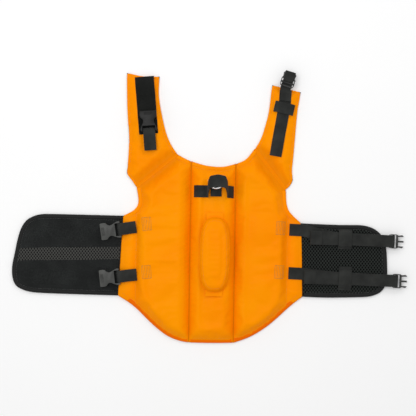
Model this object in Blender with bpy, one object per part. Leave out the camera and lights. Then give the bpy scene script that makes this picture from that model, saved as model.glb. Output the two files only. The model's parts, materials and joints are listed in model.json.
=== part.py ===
"""A dog's flotation vest laid out flat, outer side up.

The vest has five padded panels (spine, two flanks, two chest wings), a black belly panel on each
side, three side-release buckles on webbing, a grab handle and a ring for the leash.
X runs across the back, Y runs towards the neck and Z is up. All sizes are in millimetres and
turn into metres where a mesh is made.
"""

import math

import bmesh
import bpy
from mathutils import Vector
from mathutils.geometry import delaunay_2d_cdt

for old in list(bpy.data.objects):
    bpy.data.objects.remove(old)

MM = 0.001
DRAFT_CENTRE = Vector((4.0, 1.8))  # the middle of the footprint, in the draft's own X and Y

# cloth, foam and webbing
CLOTH = 0.9
LINING = 1.2
GAP = 0.3
PAD_RIM = 4.0  # height of a panel at its sewn edges
PAD_RISE = 15.0  # how far the foam lifts the spine and the flanks above the rim
FLAP_RISE = 4.5  # the thinner border between the flank foam and the belly panel
WING_RISE = 7.0
PAD_SHOULDER = 20.0  # width over which a pad rises from a seam to its full height
SEAM_GAP = 1.2  # each side of a seam that folds
WEB = 1.5  # webbing thickness
WEB_WIDTH = 24.0
SLOPE_REACH = 3.0  # webbing on a slope clears the pad this far to both sides of each point
MESH_STEP = 17.0  # spacing of the points inside a panel

# belly panels
BELLY_TOP = 5.2
BINDING = 8.0  # width of the tape round their edge
BINDING_LIP = 0.8
BELLY_SHEET = 0.6  # the backing and the face cloth

# side-release buckles; a buckle's own u runs along its webbing, v across it and w up
BAR_RADIUS = 2.0
LOOP_RADIUS = BAR_RADIUS + 0.4 + WEB / 2  # middle of webbing that turns round a bar
SOCKET_LOW = -4.0
SOCKET_HIGH = 5.0
MOUTH_DEPTH = 25.0  # how far a plug reaches into a socket
MOUTH_HALF = 13.4
MOUTH_LOW = -2.1
MOUTH_HIGH = 3.1
SLOT_HALF = 12.7  # the webbing's slot
SLOT_END = 7.6
PLUG_HALF = 14.0
PLUG_THICK = 5.2
PLUG_FRONT = 10.0
PRONG = 11.0
TONGUE_HALF = 1.7
ARM_HALF_THICK = 1.6

# straps
STRAP_TURN = -1.7  # heading of the belly straps, in degrees
TAIL_HEM = 22.0  # the folded end of a strap's free tail
KEEPER_THICK = 1.2
GRIP_STRAP_WIDTH = 34.0
GRIP_STRAP_THICK = 1.0

# the seams and folds that the panels turn on, in the draft's X and Y
SPINE_LEFT = -35.6
SPINE_RIGHT = 53.5
HEM_Y = -270.0
LEFT_WING_FOLD = (Vector((-64.0, 105.6)), Vector((-145.0, 39.0)))
RIGHT_WING_FOLD = (Vector((91.0, 118.5)), Vector((154.0, 38.5)))
LEFT_FOAM_SEAM = (Vector((-139.5, 0.0)), Vector((-139.5, -202.0)))
RIGHT_FOAM_SEAM = (Vector((158.5, -5.0)), Vector((158.5, -198.0)))
FOAM_SEAMS = {"left_flank": LEFT_FOAM_SEAM, "right_flank": RIGHT_FOAM_SEAM}

ORANGE = ((0.95, 0.33, 0.02), 0.55, 0.0)
ORANGE_DARK = ((0.80, 0.24, 0.02), 0.6, 0.0)
BLACK_CLOTH = ((0.022, 0.024, 0.024), 0.85, 0.0)
BLACK_MESH = ((0.018, 0.020, 0.020), 0.8, 0.0)
WEBBING = ((0.030, 0.028, 0.027), 0.7, 0.0)
FOAM = ((0.86, 0.85, 0.80), 0.9, 0.0)
BUCKLE = ((0.075, 0.075, 0.072), 0.42, 0.0)
STEEL = ((0.74, 0.74, 0.74), 0.22, 1.0)


# ---------------------------------------------------------------- plane geometry
def smooth(points, step):
    """Points about `step` apart on a smooth curve through the given ones."""
    pts = [Vector(p) for p in points]
    last = len(pts) - 1
    out = []
    for i in range(last):
        a, b, c, d = pts[max(i - 1, 0)], pts[i], pts[i + 1], pts[min(i + 2, last)]
        n = max(1, round((c - b).length / step))
        for k in range(n):
            t = k / n
            line = 2 * b + (c - a) * t
            bend = (2 * a - 5 * b + 4 * c - d) * t**2 + (3 * b - a - 3 * c + d) * t**3
            out.append((line + bend) / 2)
    out.append(pts[last])
    return out


def ring_of(*runs, step=14.0):
    """A closed outline from runs that meet at corners; it comes out anticlockwise."""
    ring = []
    for run in runs:
        for p in smooth(run, step) if len(run) > 2 else [Vector(q) for q in run]:
            if not ring or (p - ring[-1]).length > 0.5:
                ring.append(p)
    if (ring[0] - ring[-1]).length < 0.5:
        ring.pop()
    area = sum(ring[i - 1].cross(ring[i]) for i in range(len(ring)))
    return ring if area > 0 else ring[::-1]


def inset(line, depth, closed=True):
    """The line moved to its left by depth, with mitred corners."""
    out = []
    n = len(line)
    for i, p in enumerate(line):
        before = line[i - 1] if closed or i else p
        after = line[(i + 1) % n] if closed or i < n - 1 else p
        a = (p - before).normalized() if before != p else (after - p).normalized()
        b = (after - p).normalized() if after != p else a
        sides = Vector((-a.y - b.y, a.x + b.x))
        out.append(p + sides * (depth / (1 + a.dot(b))))
    return out


def beside(fold, side):
    """A fold line moved sideways by the seam gap, to the left of its direction for side 1."""
    along = (fold[1] - fold[0]).normalized()
    shift = Vector((-along.y, along.x)) * SEAM_GAP * side
    return [fold[0] + shift, fold[1] + shift]


def gap_to(p, a, b):
    """Distance from p to the segment a-b."""
    ab = b - a
    t = max(0.0, min(1.0, (p - a).dot(ab) / ab.length_squared))
    return (p - a - ab * t).length


def edge_distance(p, ring):
    return min(gap_to(p, ring[i - 1], ring[i]) for i in range(len(ring)))


def inside(p, ring):
    odd = False
    for i in range(len(ring)):
        a, b = ring[i - 1], ring[i]
        if (a.y > p.y) != (b.y > p.y) and p.x < (b.x - a.x) * (p.y - a.y) / (b.y - a.y) + a.x:
            odd = not odd
    return odd


def triangles(ring, step, crease=None):
    """Points and triangles that fill an outline, with a point every step or so.

    A crease is a line inside the outline that the triangles' edges follow.
    """
    points = list(ring)
    edges = []
    if crease:
        a, b = crease
        count = max(2, round((b - a).length / step))
        first = len(points)
        points += [a + (b - a) * (k / count) for k in range(count + 1)]
        edges = [(first + k, first + k + 1) for k in range(count)]
    low = Vector((min(p.x for p in ring), min(p.y for p in ring)))
    high = Vector((max(p.x for p in ring), max(p.y for p in ring)))
    rows = int((high.y - low.y) / (step * 0.87)) + 1
    for j in range(rows + 1):
        for i in range(int((high.x - low.x) / step) + 2):
            p = low + Vector(((i + 0.5 * (j % 2)) * step, j * step * 0.87))
            clear = edge_distance(p, ring) > 0.45 * step
            if crease and gap_to(p, *crease) < 0.45 * step:
                clear = False
            if clear and inside(p, ring):
                points.append(p)
    found = delaunay_2d_cdt(points, edges, [list(range(len(ring)))], 1, 0.01)
    return found[0], found[2]


# ---------------------------------------------------------------- objects
def metres(p):
    """A point of the draft as a point of the model."""
    return Vector((p[0] - DRAFT_CENTRE.x, p[1] - DRAFT_CENTRE.y, p[2])) * MM


def material(name, look):
    found = bpy.data.materials.new(name)
    found.use_nodes = True
    shader = found.node_tree.nodes["Principled BSDF"]
    color, rough, metal = look
    shader.inputs["Base Color"].default_value = (*color, 1.0)
    shader.inputs["Roughness"].default_value = rough
    shader.inputs["Metallic"].default_value = metal
    return found


def add(name, bm, look, pivot=None, smooth_angle=None):
    """Turn a bmesh in millimetres into an object, with its origin at the pivot."""
    bmesh.ops.recalc_face_normals(bm, faces=bm.faces)
    origin = metres(pivot) if pivot else Vector((0.0, 0.0, 0.0))
    for v in bm.verts:
        v.co = metres(v.co) - origin
    mesh = bpy.data.meshes.new(name)
    bm.to_mesh(mesh)
    bm.free()
    if smooth_angle:
        mesh.shade_smooth()
        mesh.set_sharp_from_angle(angle=math.radians(smooth_angle))
    mesh.materials.append(material(name, look))
    obj = bpy.data.objects.new(name, mesh)
    obj.location = origin
    bpy.context.collection.objects.link(obj)
    return obj


def plate(name, ring, low, high, look):
    """A flat piece with the outline, between two heights."""
    bm = bmesh.new()
    face = bm.faces.new([bm.verts.new((p.x, p.y, low)) for p in ring])
    grown = bmesh.ops.extrude_face_region(bm, geom=[face])
    for v in grown["geom"]:
        if isinstance(v, bmesh.types.BMVert):
            v.co.z = high
    return add(name, bm, look)


def body_between(name, ring, low, high, look, step=MESH_STEP, pivot=None):
    """A closed body with the outline, between two height functions of a point."""
    bm = bmesh.new()
    points, faces = triangles(ring, step)
    bottom = [bm.verts.new((p.x, p.y, low(p))) for p in points]
    top = [bm.verts.new((p.x, p.y, high(p))) for p in points]
    for f in faces:
        bm.faces.new([top[i] for i in f])
        bm.faces.new([bottom[i] for i in reversed(f)])
    for i in range(-1, len(ring) - 1):
        a, b = i % len(ring), i + 1
        bm.faces.new((bottom[a], bottom[b], top[b], top[a]))
    return add(name, bm, look, pivot, 40)


def tray(name, ring, base, top, look, step=MESH_STEP, pivot=None, crease=None):
    """A cloth shell that is open below: the top surface, walls down to the base, one thickness."""
    bm = bmesh.new()
    points, faces = triangles(ring, step, crease)
    upper = [bm.verts.new((p.x, p.y, top(p))) for p in points]
    foot = [bm.verts.new((p.x, p.y, base(p))) for p in ring]
    for f in faces:
        bm.faces.new([upper[i] for i in f])
    for i in range(-1, len(ring) - 1):
        a, b = i % len(ring), i + 1
        bm.faces.new((foot[a], foot[b], upper[b], upper[a]))
    obj = add(name, bm, look, pivot, 40)
    skin = obj.modifiers.new("cloth", "SOLIDIFY")
    skin.thickness = CLOTH * MM
    skin.offset = -1.0
    skin.use_even_offset = True
    return obj


def ribbon(name, path, across, look, width=WEB_WIDTH, thick=WEB, pivot=None):
    """Webbing that follows a path of points, flat across the given direction."""
    bm = bmesh.new()
    across = Vector(across).normalized()
    pts = [Vector(p) for p in path]
    last = len(pts) - 1
    rows = []
    for i, p in enumerate(pts):
        before = (p - pts[max(i - 1, 0)]).normalized()
        after = (pts[min(i + 1, last)] - p).normalized()
        before = before if i else after
        after = after if i < last else before
        side = (before + after).cross(across).normalized()
        depth = side * (thick / 2 / max(0.5, side.dot(before.cross(across).normalized())))
        half = across * (width / 2)
        corners = (p - half - depth, p + half - depth, p + half + depth, p - half + depth)
        rows.append([bm.verts.new(c) for c in corners])
    for a, b in zip(rows, rows[1:]):
        for k in range(4):
            bm.faces.new((a[k], a[k - 1], b[k - 1], b[k]))
    bm.faces.new(rows[0])
    bm.faces.new(reversed(rows[last]))
    return add(name, bm, look, pivot)


def arc(centre, radius, start, end, steps):
    """Points on an arc in a plane, from one angle to another in degrees."""
    turns = [math.radians(start + (end - start) * k / steps) for k in range(steps + 1)]
    return [(centre[0] + radius * math.cos(a), centre[1] + radius * math.sin(a)) for a in turns]


class Place:
    """A local frame for a strap or a buckle: u along, v across and w up from its origin."""

    def __init__(self, x, y, z, heading):
        turn = math.radians(heading)
        self.origin = Vector((x, y, z))
        self.along = Vector((math.cos(turn), math.sin(turn), 0.0))
        self.across = Vector((-math.sin(turn), math.cos(turn), 0.0))

    def at(self, u, v=0.0, w=0.0):
        return self.origin + self.along * u + self.across * v + Vector((0.0, 0.0, w))


def prism(bm, place, outline, low, high):
    """Extrude an outline of (u, v) points from w = low to w = high."""
    bottom = [bm.verts.new(place.at(u, v, low)) for u, v in outline]
    top = [bm.verts.new(place.at(u, v, high)) for u, v in outline]
    bm.faces.new(bottom)
    bm.faces.new(reversed(top))
    for i in range(len(outline)):
        bm.faces.new((bottom[i - 1], bottom[i], top[i], top[i - 1]))


def block(bm, place, u, v, w):
    prism(bm, place, [(u[0], v[0]), (u[1], v[0]), (u[1], v[1]), (u[0], v[1])], w[0], w[1])


def rod(bm, place, radius, half, u=0.0, w=0.0, sides=10):
    """A round bar across the place, centred on (u, w)."""
    ends = []
    for v in (-half, half):
        circle = arc((u, w), radius, 0, 360 * (sides - 1) / sides, sides - 1)
        ends.append([bm.verts.new(place.at(a, v, b)) for a, b in circle])
    bm.faces.new(ends[0])
    bm.faces.new(reversed(ends[1]))
    for i in range(sides):
        bm.faces.new((ends[0][i - 1], ends[0][i], ends[1][i], ends[1][i - 1]))


def cutter(name, build):
    """A hidden object that a Boolean uses; build fills its bmesh."""
    bm = bmesh.new()
    build(bm)
    obj = add(name, bm, BUCKLE)
    obj.hide_render = True
    obj.display_type = "WIRE"
    return obj


def boolean(obj, other, operation):
    cut = obj.modifiers.new(other.name, "BOOLEAN")
    cut.object = other
    cut.operation = operation
    cut.solver = "EXACT"


# ---------------------------------------------------------------- outlines of the panels
NECK_LEFT = [(-102, 260), (-103, 221), (-94, 173), (-84, 138), (-71, 114), (-64.0, 105.6)]
FLANK_LEFT_X = SPINE_LEFT - SEAM_GAP  # the edges of the panels along the two spine seams
SPINE_LEFT_X = SPINE_LEFT + SEAM_GAP
SPINE_RIGHT_X = SPINE_RIGHT - SEAM_GAP
FLANK_RIGHT_X = SPINE_RIGHT + SEAM_GAP
NECK_LOW_LEFT = [(-64.0, 105.6), (-50, 97), (FLANK_LEFT_X, 91.5)]
NECK_SPINE = [(SPINE_LEFT_X, 91), (-8, 83.5), (21.6, 80.7), (38, 83), (SPINE_RIGHT_X, 87.5)]
NECK_LOW_RIGHT = [(FLANK_RIGHT_X, 88), (72, 95), (91.0, 118.5)]
NECK_RIGHT = [(91.0, 118.5), (104, 141), (117, 188), (121, 222), (123.6, 246.4)]
ARMHOLE_LEFT = [(-145.0, 39.0), (-141, 22), (-139.6, 5), (-148, -8), (-170.1, -19.3)]
ARMHOLE_RIGHT = [(154.0, 38.5), (154, 21), (158.6, -2.5), (168.7, -14.4), (184.9, -29)]
HEM_LEFT = [(-178.2, -178.6), (-146, -199), (-108, -235), (-77.5, -258), (-50, -268)]
HEM_LEFT += [(FLANK_LEFT_X, HEM_Y)]
HEM_SPINE = [(SPINE_RIGHT_X, -269.3), (8, -270.5), (SPINE_LEFT_X, HEM_Y)]
HEM_RIGHT = [(FLANK_RIGHT_X, -269), (88.5, -256), (126, -231), (166, -194), (190.0, -175.4)]
WING_TOP_LEFT = [(-167, 266), (-133, 259), (-102, 260)]
WING_TOP_RIGHT = [(180.7, 233), (152, 238.5), (123.6, 246.4)]
WING_OUT_LEFT = [(-167, 266), (-165, 196), (-161, 140), (-161, 106), (-164, 65.6)]
WING_TIP_LEFT = [(-164, 65.6), (-154, 52.6), (-145.0, 39.0)]
WING_OUT_RIGHT = [(180.7, 233), (175, 200), (172, 166), (168, 110), (165, 72), (167.6, 57.6)]
WING_TIP_RIGHT = [(167.6, 57.6), (161.8, 45.5), (154.0, 38.5)]


def trimmed(run, first=None, last=None):
    """A run with its first or last point replaced."""
    run = list(run)
    if first:
        run[0] = first
    if last:
        run[-1] = last
    return run


def panel_rings():
    """The outlines of the five padded panels, clear of each other at the seams that fold."""
    left_low = [tuple(p) for p in beside(LEFT_WING_FOLD, 1)]
    left_high = [tuple(p) for p in beside(LEFT_WING_FOLD, -1)]
    right_low = [tuple(p) for p in beside(RIGHT_WING_FOLD, -1)]
    right_high = [tuple(p) for p in beside(RIGHT_WING_FOLD, 1)]
    spine = ring_of(
        NECK_SPINE,
        [NECK_SPINE[-1], HEM_SPINE[0]],
        HEM_SPINE,
        [HEM_SPINE[-1], NECK_SPINE[0]],
    )
    left_flank = ring_of(
        trimmed(NECK_LOW_LEFT, first=left_low[0]),
        [NECK_LOW_LEFT[-1], HEM_LEFT[-1]],
        HEM_LEFT[::-1],
        [HEM_LEFT[0], ARMHOLE_LEFT[-1]],
        trimmed(ARMHOLE_LEFT, first=left_low[1])[::-1],
    )
    right_flank = ring_of(
        trimmed(NECK_LOW_RIGHT, last=right_low[0])[::-1],
        [NECK_LOW_RIGHT[0], HEM_RIGHT[0]],
        HEM_RIGHT,
        [HEM_RIGHT[-1], ARMHOLE_RIGHT[-1]],
        trimmed(ARMHOLE_RIGHT, first=right_low[1])[::-1],
    )
    left_wing = ring_of(
        trimmed(NECK_LEFT, last=left_high[0]),
        trimmed(WING_TIP_LEFT, last=left_high[1])[::-1],
        WING_OUT_LEFT[::-1],
        WING_TOP_LEFT,
    )
    right_wing = ring_of(
        trimmed(NECK_RIGHT, first=right_high[0])[::-1],
        trimmed(WING_TIP_RIGHT, last=right_high[1])[::-1],
        WING_OUT_RIGHT[::-1],
        WING_TOP_RIGHT,
    )
    return dict(
        spine=spine,
        left_flank=left_flank,
        right_flank=right_flank,
        left_wing=left_wing,
        right_wing=right_wing,
    )


RINGS = panel_rings()


def swell(distance, width):
    """From 0 at a seam to 1 at the given distance from it, as foam rounds off."""
    s = min(distance / width, 1.0)
    return 1 - (1 - s) ** 2


def pad_height(panel, p):
    """Height of a padded panel's outer cloth above the floor at a point of the draft."""
    p = Vector((p[0], p[1]))
    distance = edge_distance(p, RINGS[panel])
    rise = WING_RISE if "wing" in panel else PAD_RISE
    if panel in FOAM_SEAMS:
        seam = FOAM_SEAMS[panel][0]
        distance = min(distance, gap_to(p, *FOAM_SEAMS[panel]))
        if abs(p.x) > abs(seam.x):
            return PAD_RIM + FLAP_RISE * swell(distance, PAD_SHOULDER / 2)
    return PAD_RIM + rise * swell(distance, PAD_SHOULDER)


def on_pad(panel, x, y, across, half=WEB_WIDTH / 2):
    """Height at which the middle of webbing clears a panel over its width and a little beyond."""
    side = Vector((across[0], across[1]))
    along = Vector((side.y, -side.x)) * SLOPE_REACH
    places = [Vector((x, y)) + side * (half * k) for k in (-1, -0.5, 0, 0.5, 1)]
    heights = [pad_height(panel, p + along * k) for p in places for k in (-1, 0, 1)]
    return max(heights) + GAP + WEB / 2


FOAM_FLOOR = LINING + GAP
FOAM_DROP = 5.5  # how far the foam stays below the cloth
FOAM_THIN = 0.8
FOAM_INSET = 2.2  # and inside the panel's sewn edge
FOAM_STEP = 1.4 * MESH_STEP


def foam_height(panel, p):
    """Top of the foam: under the lowest cloth nearby, so that it clears every crease."""
    turns = [math.tau * k / 8 for k in range(8)]
    around = [p + Vector((math.cos(a), math.sin(a))) * MESH_STEP for a in turns]
    near = [q for q in around if inside(q, RINGS[panel])]
    lowest = min(pad_height(panel, q) for q in near + [p])
    return max(FOAM_FLOOR + FOAM_THIN, lowest - FOAM_DROP)


def make_panels():
    for panel, ring in RINGS.items():
        plate(f"{panel}_lining", ring, 0.0, LINING, BLACK_MESH)
        tray(
            f"{panel}_shell", ring, lambda p: FOAM_FLOOR,
            lambda p, panel=panel: pad_height(panel, p), ORANGE, crease=FOAM_SEAMS.get(panel),
        )
        body_between(
            f"{panel}_foam", inset(ring, FOAM_INSET), lambda p: FOAM_FLOOR,
            lambda p, panel=panel: foam_height(panel, p), FOAM, step=FOAM_STEP,
        )


# ---------------------------------------------------------------- belly panels
BELLY_LEFT_EDGE = [
    (-170.7, -19.3), (-311, -18), (-340, -19.5), (-364, -31), (-378, -60), (-386, -100),
    (-391, -130), (-384, -162), (-362, -172.5), (-320, -176.3), (-178.8, -178.6),
]
BELLY_RIGHT_EDGE = [
    (185.5, -29.0), (262, -31), (310, -31), (333, -38), (348, -52), (356, -76), (359, -125),
    (357, -148), (347, -164), (325, -173), (240, -176.5), (190.6, -175.4),
]


def bound_edge(name, line, look):
    """Binding tape folded round an open line of panel edge, which lies to the line's left."""
    bm = bmesh.new()
    lip = BINDING_LIP
    section = (
        (0, 0), (0, BELLY_TOP), (BINDING, BELLY_TOP), (BINDING, BELLY_TOP - lip),
        (lip, BELLY_TOP - lip), (lip, lip), (BINDING, lip), (BINDING, 0),
    )
    rows = [[bm.verts.new((p.x, p.y, z)) for p in inset(line, depth, closed=False)]
            for depth, z in section]
    count = len(section)
    for i in range(len(line) - 1):
        for k in range(count):
            a, b = rows[k - 1], rows[k]
            bm.faces.new((a[i], b[i], b[i + 1], a[i + 1]))
    bm.faces.new([row[0] for row in rows])
    bm.faces.new([row[-1] for row in reversed(rows)])
    return add(name, bm, look)


def make_belly(side, edge, look_face):
    line = smooth(edge, 20.0)
    if sum(line[i - 1].cross(line[i]) for i in range(len(line))) < 0:
        line = line[::-1]
    body = f"{side}_belly"
    bound_edge(f"{body}_binding", line, BLACK_CLOTH)
    low = BINDING_LIP + GAP
    high = BELLY_TOP - low
    layers = (
        ("backing", low, low + BELLY_SHEET, BLACK_CLOTH),
        ("foam", low + BELLY_SHEET + GAP, high - BELLY_SHEET - GAP, FOAM),
        ("face", high - BELLY_SHEET, high, look_face),
    )
    inner = inset(line, low + 0.2, closed=False)
    for layer, low, high, look in layers:
        plate(f"{body}_{layer}", inner, low, high, look)


# ---------------------------------------------------------------- buckles
def socket_outline():
    """Half of the buckle socket's plan as (u, v), from the bar to the mouth."""
    tail = [(-2.6, 15.5), (-0.5, 16.4), (2.5, 16.2)]
    waist = smooth([(2.5, 16.2), (9, 13.4), (14, 10.9), (18, 10.2), (22, 12.2), (25, 16.0)], 3.5)
    mouth = [(29, 16.9), (35.5, 16.6), (37.0, 15.4)]
    return tail + [tuple(p) for p in waist[1:]] + mouth


def make_socket(name, place):
    """The female half: a flat moulding with a webbing slot, a bar and an open mouth."""
    half = socket_outline()
    outline = half + [(u, -v) for u, v in reversed(half)]
    bm = bmesh.new()
    prism(bm, place, outline[::-1], SOCKET_LOW, SOCKET_HIGH)
    obj = add(name, bm, BUCKLE, tuple(place.origin))

    front = outline[len(half) - 1][0]
    past = 5.0  # a cutter runs this far out of what it cuts

    def mouth(cut):
        across = (-MOUTH_HALF, MOUTH_HALF)
        block(cut, place, (front - MOUTH_DEPTH, front + past), across, (MOUTH_LOW, MOUTH_HIGH))

    def slot(cut):
        across = (-SLOT_HALF, SLOT_HALF)
        through = (SOCKET_LOW - past, SOCKET_HIGH + past)
        block(cut, place, (outline[0][0] - past, SLOT_END), across, through)

    boolean(obj, cutter(f"{name}_mouth_cutter", mouth), "DIFFERENCE")
    boolean(obj, cutter(f"{name}_slot_cutter", slot), "DIFFERENCE")
    half_bar = SLOT_HALF + 0.8
    boolean(obj, cutter(f"{name}_bar", lambda b: rod(b, place, BAR_RADIUS, half_bar)), "UNION")


def make_plug(name, place):
    """The male half: a ladder frame for the webbing, a guide tongue and two latch arms."""
    half = PLUG_HALF
    bm = bmesh.new()
    outline = [(-8, 11.5), (-6.5, half - 0.8), (-3, half), (7, half), (PLUG_FRONT, half - 1.6)]
    rim = [(u, -v) for u, v in reversed(outline)] + outline
    prism(bm, place, rim, -PLUG_THICK / 2, PLUG_THICK / 2)
    obj = add(name, bm, BUCKLE, tuple(place.origin))
    window = half - 1.6
    lip = 1.2  # half the height left at the webbing's side of the frame
    far = 9.0  # outside the frame
    cuts = (
        ("window", (-5.9, 6.6), (-far, far)),
        ("upper_lip", (-far - 3, -5.5), (lip, far)),
        ("lower_lip", (-far - 3, -5.5), (-far, -lip)),
    )
    for label, along, height in cuts:
        def build(cut, along=along, height=height):
            block(cut, place, along, (-window, window), height)

        boolean(obj, cutter(f"{name}_{label}_cutter", build), "DIFFERENCE")

    def tongue(cut):
        reach = (PLUG_FRONT - 1, PLUG_FRONT + PRONG)
        block(cut, place, reach, (-TONGUE_HALF, TONGUE_HALF), (-lip, lip))

    half_bar = window + 0.6
    boolean(obj, cutter(f"{name}_bar", lambda b: rod(b, place, BAR_RADIUS, half_bar)), "UNION")
    boolean(obj, cutter(f"{name}_tongue", tongue), "UNION")
    for side, label in ((1, "left"), (-1, "right")):
        root = PLUG_FRONT + GAP
        arm = [
            (root, 11.9), (root + 5, 12.5), (root + 7.5, 13.1), (root + PRONG - 1.2, 11.4),
            (root + PRONG - 0.3, 9.6), (root + 6, 9.4), (root, 8.9),
        ]
        bm = bmesh.new()
        prism(bm, place, [(u, v * side) for u, v in arm], -ARM_HALF_THICK, ARM_HALF_THICK)
        middle = (arm[0][1] + arm[-1][1]) / 2
        add(f"{name}_{label}_arm", bm, BUCKLE, tuple(place.at(root, middle * side)))


def looped(place, start, reach_back=1.0):
    """Webbing from a start path, over a buckle's bar, round it and back underneath."""
    turn = arc((0, 0), LOOP_RADIUS, 90, -90, 8)
    path = [place.at(u, 0, w) for u, w in turn] + [place.at(-reach_back, 0, -LOOP_RADIUS)]
    return start + path


def make_stub(name, panel, place, end, steps=5):
    """The short webbing that ties a socket to a panel, from its sewn end to the bar."""
    start = Vector(end)
    near = place.at(-3.5)
    across = place.across
    path = []
    for k in range(steps + 1):
        p = start + (Vector((near.x, near.y)) - start) * (k / steps)
        sew = on_pad(panel, p.x, p.y, across) if inside(p, RINGS[panel]) else 0.0
        path.append(Vector((p.x, p.y, max(sew, place.origin.z + WEB / 2 + k * 0.45))))
    ribbon(name, looped(place, path), across, WEBBING)


SOCKET_REST = BELLY_TOP + GAP - SOCKET_LOW  # height of a bar whose socket lies on a belly panel
UPPER_SOCKET = Place(-177.0, -46.5, SOCKET_REST, 189.0)
LOWER_SOCKET = Place(-177.5, -140.5, SOCKET_REST, 187.0)
TAPE_TOP = PAD_RIM + WING_RISE + GAP + WEB
NECK_SOCKET = Place(-120.3, 152.5, TAPE_TOP + GAP - SOCKET_LOW, 94.5)
LOOP_TAPE = (Vector((-121.9, 155.5)), Vector((-132.0, 258.6)))  # from the neck socket to the top
LOOP_TAPE_WIDTH = 38.0


def make_left_fastenings():
    for name, panel, place, end in (
        ("upper", "left_flank", UPPER_SOCKET, (-143.5, -41.2)),
        ("lower", "left_flank", LOWER_SOCKET, (-141.0, -136.0)),
        ("neck", "left_wing", NECK_SOCKET, (-116.8, 111.5)),
    ):
        make_socket(f"{name}_socket", place)
        make_stub(f"{name}_socket_stub", panel, place, end)
    low, high = LOOP_TAPE
    heading = (high - low).normalized()
    across = Vector((heading.y, -heading.x, 0.0))
    tape = []
    for k in range(9):
        p = low + (high - low) * (k / 8)
        height = on_pad("left_wing", p.x, p.y, across, LOOP_TAPE_WIDTH / 2)
        tape.append(Vector((p.x, p.y, height)))
    ribbon("loop_tape", tape, across, BLACK_CLOTH, width=LOOP_TAPE_WIDTH)


# ---------------------------------------------------------------- right straps
UPPER_PLUG = Place(368.0, -61.8, 9.0, STRAP_TURN)
LOWER_PLUG = Place(376.0, -140.7, 9.0, STRAP_TURN)
NECK_PLUG = Place(152.6, 249.6, 17.2, 73.0)
STRAP_Z = BELLY_TOP + GAP + WEB / 2
LAYER = WEB + GAP
BELLY_EDGE_X = 186.0  # where a strap leaves the flank for the belly panel


def strap_line(place, u):
    p = place.at(u)
    return Vector((p.x, p.y))


def make_side_strap(name, place, root, tail_end):
    """One belly strap: the root sewn to the flank, the fixed layer, the sliding fold, the plug."""
    edge = BELLY_EDGE_X
    across = place.across
    sewn = []
    steps = 4
    for k in range(steps + 1):
        x = root[0] + (edge - 0.4 - root[0]) * k / steps
        y = root[1] + (x - root[0]) * math.tan(math.radians(STRAP_TURN))
        height = on_pad("right_flank", x, y, across)
        sewn.append(Vector((x, y, max(height, STRAP_Z))))
    ribbon(f"{name}_strap_root", sewn, across, WEBBING)
    lift = sewn[-1].z
    start = edge + 0.4
    offset = root[1] - strap_line(place, root[0] - place.origin.x).y
    base = [
        (start, lift, offset), (start + 9, STRAP_Z, offset * 0.9), (start + 70, STRAP_Z, 0.0),
        (place.origin.x - 46, STRAP_Z, 0.0), (place.origin.x - 25, STRAP_Z, 0.0),
    ]
    fixed = []
    for x, z, shift in base:
        p = strap_line(place, x - place.origin.x)
        fixed.append(Vector((p.x, p.y + shift, z)))
    ribbon(f"{name}_strap", fixed, across, WEBBING)
    low = STRAP_Z + LAYER - place.origin.z
    top = low + LAYER
    back = [(-84, low), (-24, low), (-12, -LOOP_RADIUS + 0.4), (-3, -LOOP_RADIUS)]
    turn = arc((0, 0), LOOP_RADIUS, -90, 90, 8)
    out = [(-3, LOOP_RADIUS), (-12, LOOP_RADIUS - 0.2), (-24, top), (tail_end, top)]
    hem = [(tail_end - 2.2, top + LAYER / 2), (tail_end, top + LAYER + 0.1)]
    hem += [(tail_end + TAIL_HEM, top + LAYER + 0.1)]
    path = [place.at(u, 0, w) for u, w in back + turn[1:-1] + out + hem]
    ribbon(f"{name}_strap_tail", path, across, WEBBING)
    make_plug(f"{name}_plug", place)


def make_keeper(name, place, u, width, half, base, stack):
    """A band over a strap: sewn down on both sides and raised over the layers."""
    foot, inner = half, WEB_WIDTH / 2 + 2.6
    low = base + GAP + KEEPER_THICK / 2
    high = low + stack
    profile = [(-foot, low), (-inner - 1, low), (-inner, high), (inner, high), (inner + 1, low)]
    profile.append((foot, low))
    path = []
    for v, w in profile:
        p = place.at(u, v)
        path.append(Vector((p.x, p.y, w)))
    ribbon(name, path, place.along, WEBBING, width=width, thick=KEEPER_THICK)


def make_right_fastenings():
    make_side_strap("upper", UPPER_PLUG, (161.5, -42.0), -163.5)
    make_side_strap("lower", LOWER_PLUG, (160.8, -128.5), -183.0)
    stack = 3 * LAYER + 0.2
    make_keeper("upper_keeper", UPPER_PLUG, -95.0, 27.0, 20.5, BELLY_TOP, stack)
    make_keeper("lower_keeper", LOWER_PLUG, -102.0, 26.0, 23.5, BELLY_TOP, stack)


def make_neck_strap():
    """The neck strap: sewn low on the right wing, through a keeper, round the neck plug's bar."""
    place = NECK_PLUG
    root = Vector((131.5, 104.0))
    bend = Vector((148.2, 205.0))
    across = Vector((1.0, -0.15, 0.0)).normalized()
    wing_top = PAD_RIM + WING_RISE + GAP + WEB / 2
    fixed = []
    for k in range(9):
        p = root + (bend - root) * (k / 8)
        fixed.append(Vector((p.x, p.y, wing_top)))
    fixed.append(Vector((150.2, 236.0, wing_top)))
    ribbon("neck_strap", fixed, across, WEBBING)
    low = wing_top + LAYER - place.origin.z
    back = [(-36, low), (-14, low), (-3, -LOOP_RADIUS)]
    turn = arc((0, 0), LOOP_RADIUS, -90, 60, 7)
    out = [(4.6, LOOP_RADIUS + 0.9), (9, LOOP_RADIUS + 1.0), (22.5, LOOP_RADIUS + 0.6)]
    path = [place.at(u, 0, w) for u, w in back + turn[1:] + out]
    ribbon("neck_strap_tail", path, place.across, WEBBING, width=22.5)
    make_plug("neck_plug", place)
    keeper = Place(147.4, 199.4, 0.0, 77.5)
    make_keeper("neck_keeper", keeper, 0.0, 22.0, 20.0, PAD_RIM + WING_RISE, LAYER + 0.9)


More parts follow.
